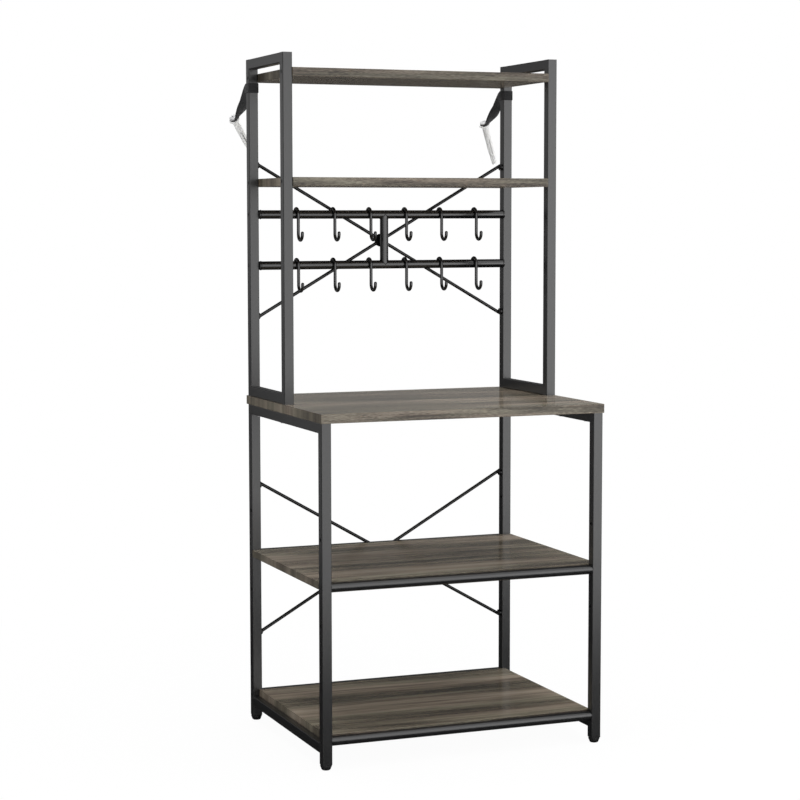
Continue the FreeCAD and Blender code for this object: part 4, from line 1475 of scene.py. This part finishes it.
@dataclass(frozen=True)
class WallPlug:
    """A nylon wall plug with collar, grip rings, barbs and a spreading slot; sizes in metres."""

    radius: float = 7.0 * MM
    tip_radius: float = 5.4 * MM
    tip_edge: float = 1.5 * MM
    length: float = 101.0 * MM
    taper_start: float = 60.0 * MM
    collar_radius: float = 11.6 * MM
    collar_height: float = 3.6 * MM
    collar_edge: float = 0.5 * MM
    rings: Tuple[float, ...] = (10.0 * MM, 15.0 * MM, 20.0 * MM, 25.0 * MM)
    ring_width: float = 1.6 * MM
    ring_depth: float = 0.6 * MM
    barb_pitch: float = 4.8 * MM
    barb_depth: float = 0.35 * MM
    slot: Point2 = (36.0 * MM, 84.0 * MM)
    slot_angle: float = 0.1
    slot_floor: float = 2.6 * MM
    bore: float = 2.5 * MM
    bore_depth: float = 12.0 * MM

    SIDES = 40
    STEP = 0.4 * MM
    SLOT_LIP, SLOT_WALL = 1.15, 1.05
    SLOT_END = 0.02 * MM
    TIP_ROUND, TIP_DROP = 0.4, 0.3

    def angles(self) -> List[float]:
        """List the angles round the plug, close together at the slot's two mouths.

        Returns:
            The angles from 0 to a full turn.
        """
        even = [math.tau * index / self.SIDES for index in range(self.SIDES)]
        lips = [turn + sign * angle for turn in (0.0, math.pi) for sign in (-1, 1)
                for angle in (self.slot_angle, self.slot_angle * self.SLOT_LIP)]
        return sorted(angle % math.tau for angle in even + lips)

    def body_radius(self, depth: float) -> float:
        """Give the plug's radius without the slot.

        Args:
            depth: the depth below the collar's face.

        Returns:
            The radius in metres.
        """
        taper = max(0.0, (depth - self.taper_start) / (self.length - self.taper_start))
        radius = self.radius + (self.tip_radius - self.radius) * taper
        for ring in self.rings:
            radius -= self.ring_depth * max(0.0, 1.0 - abs(depth - ring) / (self.ring_width / 2))
        if depth > self.slot[0]:
            radius -= self.barb_depth * ((depth - self.slot[0]) / self.barb_pitch % 1.0)
        return radius

    def section(self, mouth: Vector, down: Vector, depth: float, radius: float) -> List[Vector]:
        """Give one ring of points, sunk to the slot's floor where the slot passes.

        Args:
            mouth: the middle of the collar's face.
            down: the direction of the plug's axis.
            depth: the ring's depth below the mouth.
            radius: the ring's radius beside the slot.

        Returns:
            The points.
        """
        out, side = square_pair(down)
        in_slot = self.slot[0] < depth < self.slot[1]
        points = []
        for angle in self.angles():
            aside = abs((angle + math.pi / 2) % math.pi - math.pi / 2)
            reach = self.slot_floor if in_slot and aside < self.slot_angle * self.SLOT_WALL else radius
            points.append(mouth + down * depth + (out * math.cos(angle) + side * math.sin(angle)) * reach)
        return points

    def build(self, tether: str, mouth: Vector, down: Vector) -> None:
        """Build the plug of one tether.

        Args:
            tether: the tether's name.
            mouth: the middle of the collar's face.
            down: the direction of the plug's axis.
        """
        edge, collar, height = self.collar_edge, self.collar_radius, self.collar_height
        tip, tip_edge = self.tip_radius, self.tip_edge
        rows = [(self.bore_depth, self.bore), (edge, self.bore), (0.0, self.bore + edge),
                (0.0, collar - edge), (edge, collar), (height - edge, collar), (height, collar - edge),
                (height, self.radius + edge), (height + edge, self.radius)]
        depths = {height + self.STEP * step + edge
                  for step in range(1, int((self.length - tip_edge - height) / self.STEP))}
        for end in self.slot:
            depths |= {end - self.SLOT_END, end + self.SLOT_END}
        rows += [(depth, self.body_radius(depth)) for depth in sorted(depths)]
        rows += [(self.length - tip_edge, tip),
                 (self.length - self.TIP_ROUND * tip_edge, tip - self.TIP_DROP * tip_edge),
                 (self.length, tip - tip_edge)]
        piece = Piece(tether + "_ribbed_plug")
        piece.loft([self.section(mouth, down, depth, radius) for depth, radius in rows])
        piece.finish(PLUG_NYLON, Slot.PLUG, tether + "_tether", [tether + "_wall_plug"], smooth_angle=35.0)


TETHERS = (
    Tether("left", -1, (0.549, 0.408, -0.728), 1324.5 * MM, 120.0 * MM, 1277.5 * MM),
    Tether("right", 1, (0.40, 0.33, -0.855), 1320.6 * MM, 107.0 * MM, 1274.5 * MM))


# Studio ------------------------------------------------------------------------------------

@dataclass(frozen=True)
class Lamp:
    """One soft rectangular lamp: its size in metres and the brightness of its face."""

    name: str
    centre: Triple
    aim: Triple
    size: Point2
    brightness: float
    mirrored: bool = True

    def build(self) -> None:
        """Hang the lamp and turn it to what it lights."""
        data = bpy.data.lights.new(self.name, "AREA")
        data.shape = "RECTANGLE"
        data.size, data.size_y = self.size
        data.energy = math.pi * data.size * data.size_y * self.brightness
        lamp = bpy.data.objects.new(self.name, data)
        lamp.location = self.centre
        lamp.rotation_euler = (Vector(self.aim) - Vector(self.centre)).to_track_quat("-Z", "Y").to_euler()
        lamp.visible_camera = False
        lamp.visible_glossy = self.mirrored
        bpy.context.scene.collection.objects.link(lamp)


LAMPS = (
    Lamp("front_panel", (0.55, -1.78, 0.89), (0.55, 0.0, 0.89), (3.0, 1.90), 1.42),
    Lamp("front_fill", (0.3, -1.78, 0.92), (0.3, 0.0, 0.92), (3.0, 1.84), 0.6, mirrored=False),
    Lamp("right_front_panel", (1.45, -1.76, 0.89), (1.45, 0.0, 0.89), (1.2, 1.90), 0.5),
    Lamp("left_rear_panel", (-1.25, 1.5, 0.93), (-0.35, 0.0, 0.93), (0.9, 1.75), 0.23),
    Lamp("right_rear_wing", (2.75, 1.55, 0.25), (0.0, 0.0, 0.25), (1.9, 2.3), 0.6),
    Lamp("left_front_wing", (-2.3, -2.2, 0.25), (0.0, 0.0, 0.25), (1.8, 2.3), 0.6),
    Lamp("upper_front_panel", (0.55, -1.19, 2.56), (0.1, 0.0, 0.75), (3.0, 1.75), 1.0),
    Lamp("ceiling_panel", (0.0, 0.3, 3.4), (0.0, 0.0, 0.7), (3.2, 2.6), 3.4, mirrored=False),
    Lamp("left_fill", (-2.6, -0.6, 1.0), (0.0, 0.0, 0.7), (2.2, 2.0), 1.5, mirrored=False),
    Lamp("right_fill", (2.6, -0.2, 1.0), (0.0, 0.0, 0.7), (2.2, 2.0), 1.2, mirrored=False),
)


@dataclass(frozen=True)
class Studio:
    """A pale floor, dim walls that are paler at the back left, and the camera."""

    camera_place: Triple = (-1.6191, -3.9673, 1.0684)
    camera_turn: Triple = (84.98, 0.07, -21.62)
    lens: float = 93.97
    ground_level: float = 0.03
    horizon_level: float = 0.23
    sky_level: float = 0.02
    horizon_foot: Point2 = (-0.06, 0.03)
    horizon_top: Point2 = (0.05, 0.17)
    white_share: float = 0.08
    floor_albedo: float = 0.8
    floor_glow: Point2 = (0.965, 1.0)
    floor_fade: Point2 = (0.35, 1.6)
    floor_half: float = 40.0
    sight: float = 200.0

    def build(self) -> None:
        """Set up the view, the camera, the lamps, the world and the floor."""
        bpy.context.scene.view_settings.view_transform = "Standard"
        self.build_camera()
        for lamp in LAMPS:
            lamp.build()
        self.build_world()
        self.build_floor()

    def build_camera(self) -> None:
        """Stand the camera in front of the rack, to its left."""
        data = bpy.data.cameras.new("studio_camera")
        data.lens = self.lens
        data.clip_end = self.sight
        camera = bpy.data.objects.new("studio_camera", data)
        camera.location = self.camera_place
        camera.rotation_euler = Euler([math.radians(angle) for angle in self.camera_turn])
        bpy.context.scene.collection.objects.link(camera)
        bpy.context.scene.camera = camera

    def build_world(self) -> None:
        """Fill the shadows from dim walls, which the camera sees as white."""
        world = bpy.data.worlds.new("studio_world")
        world.use_nodes = True
        graph = ShaderGraph(world.node_tree)
        direction = graph.add("ShaderNodeTexCoord", output="Generated")
        height = graph.measure("DOT_PRODUCT", direction, tuple(Z))
        foot = graph.rise(height, *self.horizon_foot)
        band = foot * (1 - graph.rise(height, *self.horizon_top))
        level = foot * self.sky_level + band * self.horizon_level + self.ground_level
        camera_ray = graph.add("ShaderNodeLightPath", output="Is Camera Ray")
        seen = (camera_ray + camera_ray.output("Is Transmission Ray")).least(1.0)
        shown = seen.most(camera_ray.output("Is Glossy Ray") * band * self.white_share)
        strength = shown + (1 - shown) * level
        light = graph.add("ShaderNodeBackground", inputs={"Color": WHITE, "Strength": strength})
        graph.add("ShaderNodeOutputWorld", inputs={"Surface": light})
        bpy.context.scene.world = world

    def build_floor(self) -> None:
        """Lay the floor, white to the camera, with the rack's soft shadow on it."""
        half = self.floor_half
        data = bpy.data.meshes.new("studio_floor")
        signs = ((-1, -1), (1, -1), (1, 1), (-1, 1))
        data.from_pydata([(x * half, y * half, 0) for x, y in signs], [], [(0, 1, 2, 3)])
        floor = bpy.data.objects.new("studio_floor", data)
        bpy.context.scene.collection.objects.link(floor)
        material = bpy.data.materials.new("studio_floor")
        material.use_nodes = True
        graph = ShaderGraph(material.node_tree)
        camera_ray = graph.add("ShaderNodeLightPath", output="Is Camera Ray")
        distance = graph.measure("LENGTH", graph.place())
        glow = graph.between(graph.rise(distance, *self.floor_fade), *self.floor_glow)
        lit = graph.add("ShaderNodeBsdfDiffuse", inputs={"Color": WHITE})
        bounced = graph.add("ShaderNodeBsdfDiffuse", inputs={"Color": (*(self.floor_albedo,) * 3, 1.0)})
        white = graph.add("ShaderNodeEmission", inputs={"Color": WHITE, "Strength": 1.0})
        seen = graph.add("ShaderNodeMixShader", inputs={0: glow, 1: lit, 2: white})
        mixed = graph.add("ShaderNodeMixShader", inputs={0: camera_ray, 1: bounced, 2: seen})
        graph.add("ShaderNodeOutputMaterial", inputs={"Surface": mixed})
        data.materials.append(material)
        floor.visible_glossy = False
        floor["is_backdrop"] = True


def clear_start_objects() -> None:
    """Remove what a new file holds beside the frame."""
    kept = set(frame["nodes"].values()) | set(frame["bodies"].values())
    for extra in [item for item in bpy.data.objects if item not in kept]:
        bpy.data.objects.remove(extra)


def corners() -> List[List[float]]:
    """Give the lowest and highest corner of what shows."""
    return [list(corner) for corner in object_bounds()]


def main() -> None:
    """Build and dress the rack."""
    logging.basicConfig(level=logging.INFO, format="%(name)s: %(message)s")
    clear_start_objects()
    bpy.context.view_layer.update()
    Studio().build()
    SteelWork().dress()
    WeldBeads().build()
    Boards().dress()
    Hooks().dress()
    Feet().dress()
    for fastener_set in FASTENER_SETS:
        fastener_set.build()
    for tether in TETHERS:
        tether.build()


if __name__ == "__main__":
    main()
